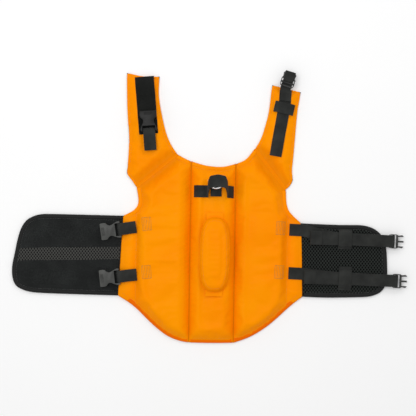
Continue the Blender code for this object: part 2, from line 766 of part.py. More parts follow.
# ---------------------------------------------------------------- spine fittings
SPINE_WEB_Z = PAD_RIM + PAD_RISE + GAP + WEB / 2  # middle of webbing that lies on the spine
RING_BAR = Vector((14.5, 54.0, SPINE_WEB_Z + LOOP_RADIUS))
RING_WIRE = 2.0
RING_BAR_HALF = 15.0
RING_SHOULDER = 2.5  # straight length beside the bar before the nose starts
RING_NOSE = 15.08
LEASH_STRAP_Y = 32.2
RING_TAB_WIDTH = 22.0


def make_ring():
    """The leash ring: a straight bar, sloping sides and a round nose, as one bent wire."""
    bar_half, shoulder = RING_BAR_HALF, RING_SHOULDER
    drop = math.sqrt(RING_NOSE**2 - bar_half**2)
    centre = (0.0, drop - shoulder)
    edge = math.degrees(math.asin(drop / RING_NOSE))
    curve = [(-bar_half, 0.0)] + arc(centre, RING_NOSE, 180 + edge, 360 - edge, 12)
    curve += [(bar_half, 0.0)]
    bar = [(bar_half * k, 0.0) for k in (0.5, 0.0, -0.5)]
    path = [RING_BAR + Vector((u, v, 0.0)) for u, v in curve + bar]
    bm = bmesh.new()
    rows = []
    sides = 8
    for i, p in enumerate(path):
        along = (path[(i + 1) % len(path)] - p).normalized() + (p - path[i - 1]).normalized()
        side = along.cross(Vector((0, 0, 1))).normalized()
        circle = [math.tau * k / sides for k in range(sides)]
        rows.append([bm.verts.new(p + (side * math.cos(a) + Vector((0, 0, 1)) * math.sin(a))
                                  * RING_WIRE) for a in circle])
    for i in range(len(rows)):
        a, b = rows[i - 1], rows[i]
        for k in range(sides):
            bm.faces.new((a[k - 1], a[k], b[k], b[k - 1]))
    add("leash_ring", bm, STEEL, tuple(RING_BAR), 60)


def make_leash_strap():
    """The strap sewn across the spine at both ends, with a raised loop that leans to the neck."""
    y = LEASH_STRAP_Y
    flat = [(-29.0, 0), (-25, 0), (-20, 0), (-14, 0), (-5, 0), (-1.6, 2.0), (-1.5, 7.5)]
    crown = [(-1.0, 13.5, 9.0), (2.5, 17.6, 18.5), (17.8, 18.4, 21.5), (33.0, 17.6, 18.5),
             (36.5, 13.5, 9.0)]
    path = [Vector((x, y, on_pad("spine", x, y, (0, 1)) + lift)) for x, lift in flat]
    path += [Vector((x, y + lean, SPINE_WEB_Z + lift)) for x, lift, lean in crown]
    falls = [(37.0, 7.5), (37.1, 2.0), (39.6, 0.0), (41.0, 0.0), (45.0, 0.0), (49.5, 0.0)]
    path += [Vector((x, y - 0.08 * (x - 36), on_pad("spine", x, y, (0, 1)) + lift))
             for x, lift in falls]
    ribbon("leash_strap", path, (0, 1, 0), WEBBING)
    rest = SPINE_WEB_Z
    back = [(22.0, rest), (36.0, rest), (RING_BAR.y - 2, rest)]
    turn = arc((RING_BAR.y, RING_BAR.z), LOOP_RADIUS, -90, 100, 9)
    end = [(RING_BAR.y - 4.2, RING_BAR.z + 0.9), (RING_BAR.y - 5.6, rest + LAYER + 0.1)]
    path = [(RING_BAR.x, a, b) for a, b in back + turn + end]
    ribbon("ring_tab", path, (1, 0, 0), WEBBING, width=RING_TAB_WIDTH)


HANDLE_CENTRE = Vector((13.5, -93.0))
HANDLE_HALF = Vector((29.5, 74.0))
HANDLE_LOW = 21.3  # underside of the grip at its sewn ends
HANDLE_ARCH = 8.5  # how much higher the underside is in the middle
HANDLE_RIM = 2.4
HANDLE_PAD = 8.0


def handle_under(p, clear=0.0):
    """Height of the grip's underside, an arch from one sewn end to the other."""
    s = (p[1] - HANDLE_CENTRE.y) / HANDLE_HALF.y
    return HANDLE_LOW + HANDLE_ARCH * (1 - min(1.0, s * s)) ** 0.8 + clear


def make_handle():
    """A padded grip that arches over the spine: cover, foam, the strap below and its anchors."""
    corner = 3.0
    ring = []
    for k in range(24):
        a = math.tau * (k + 0.5) / 24
        c, s = math.cos(a), math.sin(a)
        r = (abs(c) ** corner + abs(s) ** corner) ** (-1 / corner)
        ring.append(HANDLE_CENTRE + Vector((HANDLE_HALF.x * r * c, HANDLE_HALF.y * r * s)))
    pivot = (HANDLE_CENTRE.x, HANDLE_CENTRE.y, HANDLE_LOW)

    def top(p):
        return handle_under(p) + HANDLE_RIM + HANDLE_PAD * swell(edge_distance(p, ring), 20.0)

    tray("handle_cover", ring, handle_under, top, ORANGE, step=16.0, pivot=pivot)
    core = inset(ring, 2.4)
    body_between(
        "handle_foam", core, lambda p: handle_under(p, 0.2),
        lambda p: max(handle_under(p, 1.0), top(p) - 3.0), FOAM, step=18.0, pivot=pivot,
    )
    strap = []
    for k in range(13):
        y = HANDLE_CENTRE.y + (k / 12 - 0.5) * 2 * (HANDLE_HALF.y - 4)
        strap.append((HANDLE_CENTRE.x, y, handle_under((0, y), -GAP - 0.6)))
    size = dict(width=GRIP_STRAP_WIDTH, thick=GRIP_STRAP_THICK)
    ribbon("handle_strap", strap, (1, 0, 0), ORANGE_DARK, pivot=pivot, **size)
    for name, side in (("front", 1), ("rear", -1)):
        near = HANDLE_CENTRE.y + side * (HANDLE_HALF.y - 10)
        far = HANDLE_CENTRE.y + side * (HANDLE_HALF.y + 9)
        rest = PAD_RIM + PAD_RISE + GAP
        height = rest + GRIP_STRAP_THICK / 2
        path = [(HANDLE_CENTRE.x, near, height), (HANDLE_CENTRE.x, far, height)]
        ribbon(f"handle_{name}_anchor", path, (1, 0, 0), ORANGE_DARK, **size)


make_panels()
make_belly("left", BELLY_LEFT_EDGE, BLACK_CLOTH)
make_belly("right", BELLY_RIGHT_EDGE, BLACK_MESH)
make_left_fastenings()
make_right_fastenings()
make_neck_strap()
make_ring()
make_leash_strap()
make_handle()
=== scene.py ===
# %% [markdown]
# # A dog's flotation vest, laid flat
# The vest is sewn from padded panels of coated nylon, black belly panels, webbing and moulded
# buckles. The engineering model settles where every piece is and how it folds. This lesson gives
# each piece its cloth, its stitches and its finish. Work inside it is in millimetres, because
# that is how a sewing pattern is written, and turns into metres where a mesh is made.

# %% Load the frame
import json
import math

import bmesh
import bpy
import numpy as np
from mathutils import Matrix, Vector, noise
from mathutils.bvhtree import BVHTree
from mathutils.geometry import delaunay_2d_cdt


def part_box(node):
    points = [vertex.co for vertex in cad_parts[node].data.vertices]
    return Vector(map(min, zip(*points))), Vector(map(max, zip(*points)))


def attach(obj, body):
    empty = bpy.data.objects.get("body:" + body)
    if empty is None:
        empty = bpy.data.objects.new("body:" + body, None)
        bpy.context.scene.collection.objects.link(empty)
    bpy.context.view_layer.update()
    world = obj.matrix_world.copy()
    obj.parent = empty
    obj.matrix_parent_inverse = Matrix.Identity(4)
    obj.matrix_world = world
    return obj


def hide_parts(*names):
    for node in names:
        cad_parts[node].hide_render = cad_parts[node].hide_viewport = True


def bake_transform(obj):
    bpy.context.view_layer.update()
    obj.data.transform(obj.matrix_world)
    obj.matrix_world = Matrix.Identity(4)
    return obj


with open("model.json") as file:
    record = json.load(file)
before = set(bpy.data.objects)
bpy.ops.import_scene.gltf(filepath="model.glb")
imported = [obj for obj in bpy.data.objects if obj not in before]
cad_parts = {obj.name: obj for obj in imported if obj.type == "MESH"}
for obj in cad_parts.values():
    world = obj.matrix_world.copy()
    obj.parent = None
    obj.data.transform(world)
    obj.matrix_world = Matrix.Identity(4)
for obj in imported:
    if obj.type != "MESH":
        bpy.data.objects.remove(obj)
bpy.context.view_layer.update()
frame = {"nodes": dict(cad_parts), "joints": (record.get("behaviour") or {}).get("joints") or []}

MM = 0.001
joints = {j["name"]: j for j in frame["joints"]}

# %% [markdown]
# ## Camera, floor and light
# A garment on a table is looked at from straight above with a long lens, so that its edges don't
# lean outwards. The light is a bright overcast: a pale world, one wide soft panel overhead and a
# weaker one from the neck side, so that the stitched valleys read as soft shadows.

# %% Camera, floor and light
VIEW_WIDTH = 832.0
LENS, SENSOR = 85.0, 36.0
VIEW_CENTRE = Vector((-5.0, -3.0))
CAMERA_TURN = 0.9

camera_data = bpy.data.cameras.new("camera")
camera_data.lens = LENS
camera_data.sensor_width = SENSOR
camera = bpy.data.objects.new("camera", camera_data)
camera.location = (VIEW_CENTRE.x * MM, VIEW_CENTRE.y * MM, VIEW_WIDTH * MM * LENS / SENSOR)
camera.rotation_euler = (0.0, 0.0, math.radians(CAMERA_TURN))
bpy.context.collection.objects.link(camera)
bpy.context.scene.camera = camera
bpy.context.scene.view_settings.view_transform = "Standard"

world = bpy.data.worlds.new("studio")
world.use_nodes = True
world.node_tree.nodes["Background"].inputs["Color"].default_value = (1.0, 1.0, 1.0, 1.0)
world.node_tree.nodes["Background"].inputs["Strength"].default_value = 0.62
bpy.context.scene.world = world


def soft_light(name, spot, size, power):
    data = bpy.data.lights.new(name, "AREA")
    data.size = size
    data.energy = power
    lamp = bpy.data.objects.new(name, data)
    lamp.location = spot
    lamp.rotation_euler = (-Vector(spot)).to_track_quat("-Z", "Y").to_euler()
    bpy.context.collection.objects.link(lamp)


soft_light("overhead", (-0.5, 0.35, 2.1), 1.3, 17.0)
soft_light("neck_side", (0.9, 1.6, 1.5), 0.8, 7.0)
print("camera", round(camera.location.z, 2), "m above the table")


# %% [markdown]
# ## Finishes
# Each finish is a small node graph. Cloth gets its weave from fine waves in a bump, its colour
# from slow noise, and painted shade beside each seam from an attribute the pattern code paints.
# A weave in the object's own coordinates needs no unwrapping; webbing is unwrapped as it is made,
# so its ribs follow every bend.

# %% A helper for node graphs
class Finish:
    """A Principled material whose nodes are added one by one and wired by name."""

    def __init__(self, name, rough, metal=0.0, **sockets):
        self.material = bpy.data.materials.new(name)
        self.material.use_nodes = True
        self.tree = self.material.node_tree
        self.shader = self.tree.nodes["Principled BSDF"]
        self.shader.inputs["Roughness"].default_value = rough
        self.shader.inputs["Metallic"].default_value = metal
        for socket, value in sockets.items():
            self.shader.inputs[socket.replace("_", " ")].default_value = value

    def add(self, kind, settings=None, **inputs):
        node = self.tree.nodes.new("ShaderNode" + kind)
        for key, value in (settings or {}).items():
            setattr(node, key, value)
        for key, value in inputs.items():
            socket = node.inputs[int(key[1:])] if key[0] == "_" else node.inputs[key]
            if isinstance(value, bpy.types.NodeSocket):
                self.tree.links.new(value, socket)
            else:
                socket.default_value = value
        return node

    def coords(self, kind="Object"):
        return self.add("TexCoord").outputs[kind]

    def noise(self, vector, scale, detail=3.0):
        return self.add("TexNoise", Vector=vector, Scale=scale, Detail=detail).outputs["Fac"]

    def wave(self, vector, period, axis, distortion=0.0):
        settings = {"bands_direction": axis}
        scale = math.tau / 20 / (period * MM)
        node = self.add("TexWave", settings, Vector=vector, Scale=scale, Distortion=distortion)
        return node.outputs["Fac"]

    def math(self, operation, a, b=0.0):
        return self.add("Math", {"operation": operation}, _0=a, _1=b).outputs[0]

    def mix(self, share, a, b):
        node = self.add("Mix", {"data_type": "RGBA"}, _0=share)
        for socket, value in ((node.inputs[6], a), (node.inputs[7], b)):
            if isinstance(value, bpy.types.NodeSocket):
                self.tree.links.new(value, socket)
            else:
                socket.default_value = (*value, 1.0)
        return node.outputs[2]

    def ramp(self, value, low, high):
        node = self.add("MapRange", None, _0=value, _1=low, _2=high)
        return node.outputs[0]

    def colour(self, socket):
        self.tree.links.new(socket, self.shader.inputs["Base Color"])

    def roughness(self, socket):
        self.tree.links.new(socket, self.shader.inputs["Roughness"])

    def bump(self, height, depth, strength=1.0, below=None):
        """Relief of the given depth in millimetres."""
        node = self.add("Bump", None, Strength=strength, Distance=depth * MM, Height=height)
        if below:
            self.tree.links.new(below, node.inputs["Normal"])
        self.tree.links.new(node.outputs[0], self.shader.inputs["Normal"])
        return node.outputs[0]


print("Finish wires these by hand:", [n for n in dir(Finish) if not n.startswith("_")])


# %% Cloth finishes
def nylon(name, bright, deep, seam):
    """Coated nylon: a fine plain weave, soft crumples and painted shade in the valleys beside the seams."""
    f = Finish(name, 0.6, Specular_IOR_Level=0.02)
    place = f.coords()
    slow = f.ramp(f.noise(place, 9.0, 4.0), 0.35, 0.7)
    cloth = f.mix(slow, bright, deep)
    # Painted shade: the 'seam' attribute mixes the cloth towards the third, darker colour in the seam
    # valleys.
    painted_shade = f.add("Attribute", {"attribute_name": "seam"}).outputs["Fac"]
    f.colour(f.mix(f.math("MULTIPLY", painted_shade, 0.8), cloth, seam))
    weave = f.math("ADD", f.wave(place, 0.9, "X"), f.wave(place, 0.9, "Y"))
    relief = f.bump(f.noise(place, 55.0, 5.0), 1.1, 0.55)
    f.bump(weave, 0.05, 0.6, relief)
    f.roughness(f.ramp(f.noise(place, 120.0), 0.0, 1.6))
    return f.material


def loop_cloth(name, dark, light):
    """Brushed loop cloth: short tangled loops that catch a little light."""
    f = Finish(name, 0.9, Sheen_Weight=0.12, Sheen_Roughness=0.55, Specular_IOR_Level=0.12)
    place = f.coords()
    loops = f.noise(place, 900.0, 4.0)
    patch = f.ramp(f.noise(place, 26.0, 3.0), 0.3, 0.75)
    shade = f.math("MULTIPLY", f.ramp(loops, 0.35, 0.75), f.math("ADD", patch, 0.45))
    f.colour(f.mix(shade, dark, light))
    f.bump(loops, 0.5, 0.9)
    return f.material


# %% Mesh and webbing finishes
def open_mesh(name, dark, light, pitch):
    """Knitted spacer mesh: diamond holes between ribs that run both ways across it."""
    f = Finish(name, 0.75, Sheen_Weight=0.02, Specular_IOR_Level=0.06)
    place = f.coords()
    turned = f.add("Mapping", None, Vector=place, Rotation=(0.0, 0.0, math.radians(38)))
    other = f.add("Mapping", None, Vector=place, Rotation=(0.0, 0.0, math.radians(-38)))
    first = f.wave(turned.outputs[0], pitch, "X", 0.6)
    second = f.wave(other.outputs[0], pitch, "X", 0.6)
    ribs = f.math("MAXIMUM", first, second)
    solid = f.ramp(ribs, 0.7, 1.0)
    f.colour(f.mix(solid, dark, light))
    f.bump(solid, 0.9, 0.9)
    return f.material


def woven_tape(name, dark, light, rib):
    """Webbing: ribs across it and a twill between them, from its own UVs."""
    f = Finish(name, 0.68, Sheen_Weight=0.08, Sheen_Roughness=0.4, Specular_IOR_Level=0.2)
    place = f.coords("UV")
    ribs = f.wave(place, rib, "X")
    grain = f.wave(place, 1.7, "DIAGONAL", 0.4)
    fuzz = f.noise(place, 700.0, 3.0)
    slow = f.ramp(f.noise(place, 40.0, 3.0), 0.3, 0.7)
    tone = f.math("MULTIPLY", f.math("ADD", f.math("MULTIPLY", ribs, 0.5), slow), 0.6)
    f.colour(f.mix(tone, dark, light))
    relief = f.bump(f.math("ADD", ribs, f.math("MULTIPLY", grain, 0.6)), 0.28, 0.8)
    f.bump(fuzz, 0.12, 0.5, relief)
    return f.material


# %% The vest's cloths
# The third colour of each nylon is the painted shade of its seam valleys.
ORANGE = nylon("orange_nylon", (1.0, 0.312, 0.0), (0.99, 0.262, 0.0), (0.45, 0.11, 0.0))
HEM = nylon("hem_tape", (0.90, 0.17, 0.0), (0.84, 0.14, 0.0), (0.42, 0.05, 0.0))
LOOP_CLOTH = loop_cloth("loop_cloth", (0.004, 0.0045, 0.0045), (0.026, 0.029, 0.028))
SPACER = open_mesh("spacer_mesh", (0.001, 0.001, 0.001), (0.036, 0.042, 0.038), 4.8)
STRIPE_MESH = open_mesh("stripe_mesh", (0.010, 0.010, 0.0095), (0.090, 0.090, 0.084), 4.6)
LINING = open_mesh("lining_mesh", (0.006, 0.006, 0.006), (0.04, 0.042, 0.042), 3.4)
TAPE = woven_tape("webbing", (0.007, 0.0075, 0.0070), (0.032, 0.034, 0.031), 1.6)
BIND = woven_tape("edge_binding", (0.005, 0.005, 0.005), (0.022, 0.023, 0.022), 1.1)
print("cloth finishes ready")


# %% Hard finishes and thread
def moulded(name, dark, light):
    """Moulded nylon: a fine spark-eroded grain, and a painted highlight that makes convex edges paler."""
    f = Finish(name, 0.5, Specular_IOR_Level=0.25)
    place = f.coords()
    grain = f.noise(place, 2200.0, 3.0)
    # Painted highlight: convex edges, found by pointiness, mix towards the paler colour.
    edge = f.ramp(f.add("NewGeometry").outputs["Pointiness"], 0.5, 0.58)
    cloud = f.ramp(f.noise(place, 60.0), 0.3, 0.7)
    share = f.math("ADD", f.math("MULTIPLY", edge, 0.6), f.math("MULTIPLY", cloud, 0.25))
    f.colour(f.mix(share, dark, light))
    f.bump(grain, 0.06, 0.6)
    f.roughness(f.ramp(grain, -0.6, 1.9))
    return f.material


def plated(name):
    """Bright plated wire with fine draw marks."""
    f = Finish(name, 0.16, 1.0)
    place = f.coords()
    f.colour(f.mix(f.noise(place, 300.0), (0.80, 0.80, 0.79), (0.93, 0.93, 0.92)))
    f.bump(f.noise(place, 900.0), 0.03, 0.4)
    return f.material


def thread(name, tone, pale):
    f = Finish(name, 0.6, Sheen_Weight=0.3)
    place = f.coords()
    f.colour(f.mix(f.noise(place, 1500.0), tone, pale))
    f.bump(f.wave(place, 0.5, "DIAGONAL"), 0.06, 0.7)
    return f.material


# %% Buckles, ring and thread in their colours
BUCKLE = moulded("buckle_moulding", (0.030, 0.031, 0.029), (0.105, 0.107, 0.10))
BUCKLE_DARK = moulded("neck_buckle_moulding", (0.002, 0.002, 0.002), (0.010, 0.010, 0.009))
PLUG_BLACK = moulded("plug_moulding", (0.012, 0.0125, 0.012), (0.085, 0.086, 0.083))
STEEL = plated("ring_wire")
ORANGE_THREAD = thread("orange_thread", (0.70, 0.17, 0.002), (0.95, 0.30, 0.01))
BOX_THREAD = thread("box_thread", (0.20, 0.11, 0.015), (0.32, 0.17, 0.02))
BLACK_THREAD = thread("black_thread", (0.03, 0.03, 0.03), (0.08, 0.08, 0.078))
print("hard finishes and threads:", ", ".join(m.name for m in (BUCKLE, PLUG_BLACK, STEEL, BOX_THREAD)))

floor_finish = Finish("studio_floor", 0.8)
floor_finish.colour(
    floor_finish.mix(
        floor_finish.noise(floor_finish.coords(), 3.0), (0.97, 0.97, 0.97), (0.985, 0.985, 0.985)
    )
)
bpy.ops.mesh.primitive_plane_add(size=8.0, location=(0.0, 0.0, -0.0006))
floor = bpy.context.object
floor.name = "studio_floor"
floor.data.materials.append(floor_finish.material)
print("floor just below the vest, at", round(floor.location.z / MM, 1), "mm")


# %% [markdown]
# ## Pattern pieces from the frame
# The frame's linings are flat plates cut to the pattern, so the outline of each panel is the
# edge loop of its lining. A run between two corners is redrawn as one smooth curve. Folds come
# from the frame's hinges.

# %% Lines and outlines
def smooth(points, step):
    """Points about `step` apart on a smooth curve through the given ones."""
    pts = [Vector(p) for p in points]
    last = len(pts) - 1
    out = []
    for i in range(last):
        a, b, c, d = pts[max(i - 1, 0)], pts[i], pts[i + 1], pts[min(i + 2, last)]
        span = (c - b).length
        leave = (c - a) * span / ((b - a).length + span)
        arrive = (d - b) * span / (span + (d - c).length)
        n = max(1, round(span / step))
        for k in range(n):
            t = k / n
            ends = b * (2 * t**3 - 3 * t**2 + 1) + c * (3 * t**2 - 2 * t**3)
            out.append(ends + leave * (t**3 - 2 * t**2 + t) + arrive * (t**3 - t**2))
    out.append(pts[last])
    return out


# %% Outlines of the frame's plates
def plate_ring(node):
    """The outline of a flat plate of the frame, anticlockwise, in millimetres."""
    bm = bmesh.new()
    bm.from_mesh(frame["nodes"][node].data)
    bmesh.ops.remove_doubles(bm, verts=bm.verts, dist=0.00002)
    low = min(v.co.z for v in bm.verts) + 0.0001
    under = {f for f in bm.faces if all(v.co.z < low for v in f.verts)}
    edges = [e for e in bm.edges if sum(f in under for f in e.link_faces) == 1]
    edges = [e for e in edges if all(v.co.z < low for v in e.verts)]
    following = {}
    for e in edges:
        for v, w in (e.verts, reversed(e.verts)):
            following.setdefault(v, []).append(w)
    first = edges[0].verts[0]
    ring, before, now = [first], first, following[first][0]
    while now is not first:
        ring.append(now)
        before, now = now, next(w for w in following[now] if w is not before)
    points = [Vector((v.co.x, v.co.y)) / MM for v in ring]
    area = sum(points[i - 1].cross(points[i]) for i in range(len(points)))
    bm.free()
    return points if area > 0 else points[::-1]


def redrawn(ring, step, corner=50.0):
    """The outline with smooth runs between its corners, and a point every step."""
    n = len(ring)
    sharp = []
    for i in range(n):
        a, b = ring[i] - ring[i - 1], ring[(i + 1) % n] - ring[i]
        if abs(math.degrees(a.angle_signed(b))) > corner:
            sharp.append(i)
    out = []
    for start, stop in zip(sharp, sharp[1:] + [sharp[0] + n]):
        run = [ring[start % n]]
        for k in range(start + 1, stop):
            near_end = (ring[k % n] - ring[stop % n]).length < 4.0
            if (ring[k % n] - run[-1]).length > 4.0 and not near_end:
                run.append(ring[k % n])
        out += smooth(run + [ring[stop % n]], step)[:-1]
    return out


# %% Distances and fillings
def segment_gaps(points, starts, ends):
    """Distances from each point to each segment, as an array."""
    p = np.array([[q[0], q[1]] for q in points])[:, None]
    a, b = np.array(starts, float)[None], np.array(ends, float)[None]
    ab = b - a
    t = ((p - a) * ab).sum(-1) / np.maximum((ab**2).sum(-1), 1e-9)
    near = a + ab * np.clip(t, 0, 1)[..., None]
    return np.linalg.norm(p - near, axis=-1)


def is_inside(points, ring):
    p = np.array([[q[0], q[1]] for q in points])
    odd = np.zeros(len(p), bool)
    for i in range(len(ring)):
        a, b = ring[i - 1], ring[i]
        if a.y == b.y:
            continue
        cross = ((a.y > p[:, 1]) != (b.y > p[:, 1])) & (
            p[:, 0] < (b.x - a.x) * (p[:, 1] - a.y) / (b.y - a.y) + a.x
        )
        odd ^= cross
    return odd


def filled(ring, step, creases=()):
    """Points and triangles inside an outline; triangle edges follow the creases."""
    points = list(ring)
    edges = []
    for a, b in creases:
        count = max(2, round((b - a).length / step))
        first = len(points)
        points += [a + (b - a) * (k / count) for k in range(count + 1)]
        edges += [(first + k, first + k + 1) for k in range(count)]
    xs, ys = [p.x for p in ring], [p.y for p in ring]
    grid = []
    rows = int((max(ys) - min(ys)) / (step * 0.87)) + 1
    for j in range(rows + 1):
        for i in range(int((max(xs) - min(xs)) / step) + 2):
            x = min(xs) + (i + 0.5 * (j % 2)) * step
            grid.append(Vector((x, min(ys) + j * step * 0.87)))
    fixed = [(a, b) for a, b in creases] + [(ring[i - 1], ring[i]) for i in range(len(ring))]
    gaps = segment_gaps(grid, [a for a, b in fixed], [b for a, b in fixed]).min(1)
    keep = (gaps > 0.5 * step) & is_inside(grid, ring)
    points += [p for p, good in zip(grid, keep) if good]
    found = delaunay_2d_cdt(points, edges, [list(range(len(ring)))], 1, 0.001)
    return found[0], found[2]


# %% Folds from the hinges
def fold_line(name):
    joint = joints[name]
    middle = Vector(joint["pos_m"]) / MM
    along = Vector(joint["axis"]).normalized()
    reach = along * 260.0
    return Vector((middle - reach).xy), Vector((middle + reach).xy)


FOLDS = {name: fold_line(name) for name in joints if name.endswith("_fold")}
PANELS = ("spine", "left_flank", "right_flank", "left_wing", "right_wing")
BODY_OF = {panel: "back" if panel == "spine" else panel for panel in PANELS}
RINGS = {panel: redrawn(plate_ring(f"{panel}_lining"), 6.0) for panel in PANELS}
for panel in PANELS:
    print(panel, len(RINGS[panel]), "points round the edge")


# %% Meshes from points
def make(name, bm, finish, smooth_angle=50.0):
    """An object from a bmesh in millimetres."""
    bmesh.ops.recalc_face_normals(bm, faces=bm.faces)
    for v in bm.verts:
        v.co *= MM
    mesh = bpy.data.meshes.new(name)
    bm.to_mesh(mesh)
    bm.free()
    mesh.shade_smooth()
    if smooth_angle < 180:
        mesh.set_sharp_from_angle(angle=math.radians(smooth_angle))
    for part in finish if isinstance(finish, (list, tuple)) else [finish]:
        mesh.materials.append(part)
    obj = bpy.data.objects.new(name, mesh)
    bpy.context.collection.objects.link(obj)
    return obj


def slab(points, faces, rim, tops, floors, under=0, edge=0, face_mark=None):
    """A closed slab: a filled outline at two heights, joined round its first `rim` points."""
    bm = bmesh.new()
    top = [bm.verts.new((p.x, p.y, z)) for p, z in zip(points, tops)]
    low = [bm.verts.new((p.x, p.y, z)) for p, z in zip(points, floors)]
    for f in faces:
        bm.faces.new([top[i] for i in f]).material_index = face_mark(f) if face_mark else 0
        bm.faces.new([low[i] for i in reversed(f)]).material_index = under
    for a, b in zip([rim - 1, *range(rim - 1)], range(rim)):
        bm.faces.new((low[a], low[b], top[b], top[a])).material_index = edge
    return bm


def closed_cord(path, radius, sides):
    """A round cord along a closed path, each ring of it square to the path's plan."""
    bm = bmesh.new()
    rows = []
    for i, p in enumerate(path):
        along = (path[(i + 1) % len(path)] - path[i - 1]).xy.normalized()
        out_way = Vector((along.y, -along.x, 0.0))
        turns = [math.tau * k / sides for k in range(sides)]
        rows.append([bm.verts.new(p + out_way * radius * math.cos(a) + Vector((0, 0, radius * math.sin(a))))
                     for a in turns])
    for i in range(len(rows)):
        for k in range(sides):
            bm.faces.new((rows[i - 1][k - 1], rows[i - 1][k], rows[i][k], rows[i][k - 1]))
    return bm


def settle(obj):
    """Replace an object's mesh by the one its modifiers give."""
    graph = bpy.context.evaluated_depsgraph_get()
    result = bpy.data.meshes.new_from_object(obj.evaluated_get(graph))
    obj.modifiers.clear()
    obj.data = result
    return obj


def subdivided(obj, levels=1):
    step = obj.modifiers.new("smooth", "SUBSURF")
    step.levels = levels
    step.render_levels = levels
    return settle(obj)


def dressed(obj, body, slot, *nodes):
    """Ride a body and stand for frame nodes; slot is not used."""
    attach(obj, body)
    if nodes:
        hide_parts(*nodes)
    return obj


# %% [markdown]
# ## The padded panels
# Foam sewn between two cloths rises from each seam to a full, soft crown. The panel starts as a
# low dome over its outline, then swells in a cloth simulation: pressure inside, its seams
# pinned, and cloth a little larger than the foam, so that it puckers along the stitches. Each
# point may move only a few millimetres, so the crown stays at the height that the frame gives.
# Folds that cross a panel, such as the foam pocket's edge, are pinned lines too.

# %% Rest shape of a panel
EDGE_Z = 3.0
FLOOR_Z = 1.6
HEM_WIDTH = {"spine": 8.0, "left_flank": 8.0, "right_flank": 8.0, "left_wing": 4.0, "right_wing": 4.0}
FLAT_BY_FOLD = {"wing": 11.0, "flank": 0.8, "belly": 8.0}
BELLY_STEP = 3.4
FOAM_TOP = {panel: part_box(f"{panel}_shell")[1].z / MM for panel in PANELS}
print("foam tops in mm:", {panel: round(top, 1) for panel, top in FOAM_TOP.items()})
FLAP_TOP = 8.2


def foam_seam(panel):
    """The stitched edge of a flank's foam pocket, one hand's breadth inside the belly fold."""
    if "flank" not in panel:
        return None
    low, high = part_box(f"{panel}_lining")
    side = -1 if panel == "left_flank" else 1
    x = (low.x if side < 0 else high.x) / MM - side * 35.0 + (3.0 if side > 0 else 0.0)
    return Vector((x, -4.0)), Vector((x, -203.0))


def edge_kinds(ring):
    """For each edge of the outline, which fold it lies on, or 'hem' for a free edge."""
    kinds = []
    for i in range(len(ring)):
        a, b = ring[i - 1], ring[i]
        found = "hem"
        for name, line in FOLDS.items():
            gaps = segment_gaps([a, b], [line[0]], [line[1]])
            if gaps.max() < 2.6:
                found = name.split("_")[1]
        kinds.append(found)
    return kinds


# %% Height over a panel
def panel_shape(panel, points):
    """Rest height, and distance to the nearest stitched line, of points in a panel."""
    ring = RINGS[panel]
    kinds = edge_kinds(ring)
    starts = [ring[i - 1] for i in range(len(ring))]
    gaps = segment_gaps(points, starts, ring)
    flats = dict(FLAT_BY_FOLD, hem=HEM_WIDTH[panel])
    reach = np.min(np.stack([gaps[:, i] - flats[k] for i, k in enumerate(kinds)]), axis=0)
    rise = np.full(len(points), FOAM_TOP[panel] - EDGE_Z - 1.0)
    base = np.full(len(points), EDGE_Z)
    shoulder = np.full(len(points), 21.0 if "wing" not in panel else 17.0)
    seam = foam_seam(panel)
    if seam:
        x = np.array([p[0] for p in points])
        across = segment_gaps(points, [seam[0]], [seam[1]])[:, 0] - 0.6
        reach = np.minimum(reach, across)
        outside = np.abs(x) > abs(seam[0].x)
        rise[outside] = FLAP_TOP - EDGE_Z - BELLY_STEP
        shoulder[outside] = 10.0
        belly = [i for i, k in enumerate(kinds) if k == "belly"]
        near = gaps[:, belly].min(1)
        base += BELLY_STEP * np.clip(1 - near / 30.0, 0, 1)
        base[~outside] = EDGE_Z
    reach = np.maximum(reach, 0.0)
    share = np.minimum(reach / shoulder, 1.0)
    return base + rise * (1 - (1 - share) ** 2.2), reach


# %% Swelling by simulation
def swell(obj, pinned, pressure, grow, cap, frames=20):
    """Blow up a closed mesh with its pinned points held, and cap how far a point may move."""
    rest = [v.co.copy() for v in obj.data.vertices]
    group = obj.vertex_groups.new(name="pin")
    group.add(pinned, 1.0, "REPLACE")
    cloth = obj.modifiers.new("cloth", "CLOTH")
    s = cloth.settings
    s.quality = 5
    s.mass = 0.25
    s.tension_stiffness = s.compression_stiffness = 12.0
    s.shear_stiffness = 6.0
    s.bending_stiffness = 0.35
    s.use_pressure = True
    s.uniform_pressure_force = pressure
    s.shrink_min = -grow
    s.effector_weights.gravity = 0.0
    s.vertex_group_mass = "pin"
    cloth.point_cache.frame_start = 1
    cloth.point_cache.frame_end = frames
    scene = bpy.context.scene
    for now in range(1, frames + 1):
        scene.frame_set(now)
    settle(obj)
    for v, start in zip(obj.data.vertices, rest):
        move = v.co - start
        if move.length > cap * MM:
            v.co = start + move.normalized() * cap * MM
    scene.frame_set(1)
    obj.vertex_groups.clear()
    return obj


def pucker(x, y, reach):
    """Small ridges that run out from a stitched line and die away from it."""
    spot = Vector((x, y, 0.0))
    wave = noise.noise(spot * 0.085) + 0.6 * noise.noise(spot * 0.21)
    slow = noise.noise(spot * 0.02 + Vector((3.1, 7.7, 0.0)))
    near = math.exp(-reach / 13.0) * min(1.0, reach / 2.0)
    return 1.1 * wave * near + 0.8 * slow * min(1.0, reach / 12.0)


# %% Padded panels
SOCKET_BARS = [Vector(joints[f"{n}_socket_swing"]["pos_m"]) for n in ("upper", "lower", "neck")]
BAR_ROOM = 17.0
BAR_CLEAR = 4.8
PINNED = 1.2
# Strengths of the painted shade beside the stitched lines and in the bands along the wing folds.
SEAM_SHADE = 0.12
WING_SHADE = 0.36


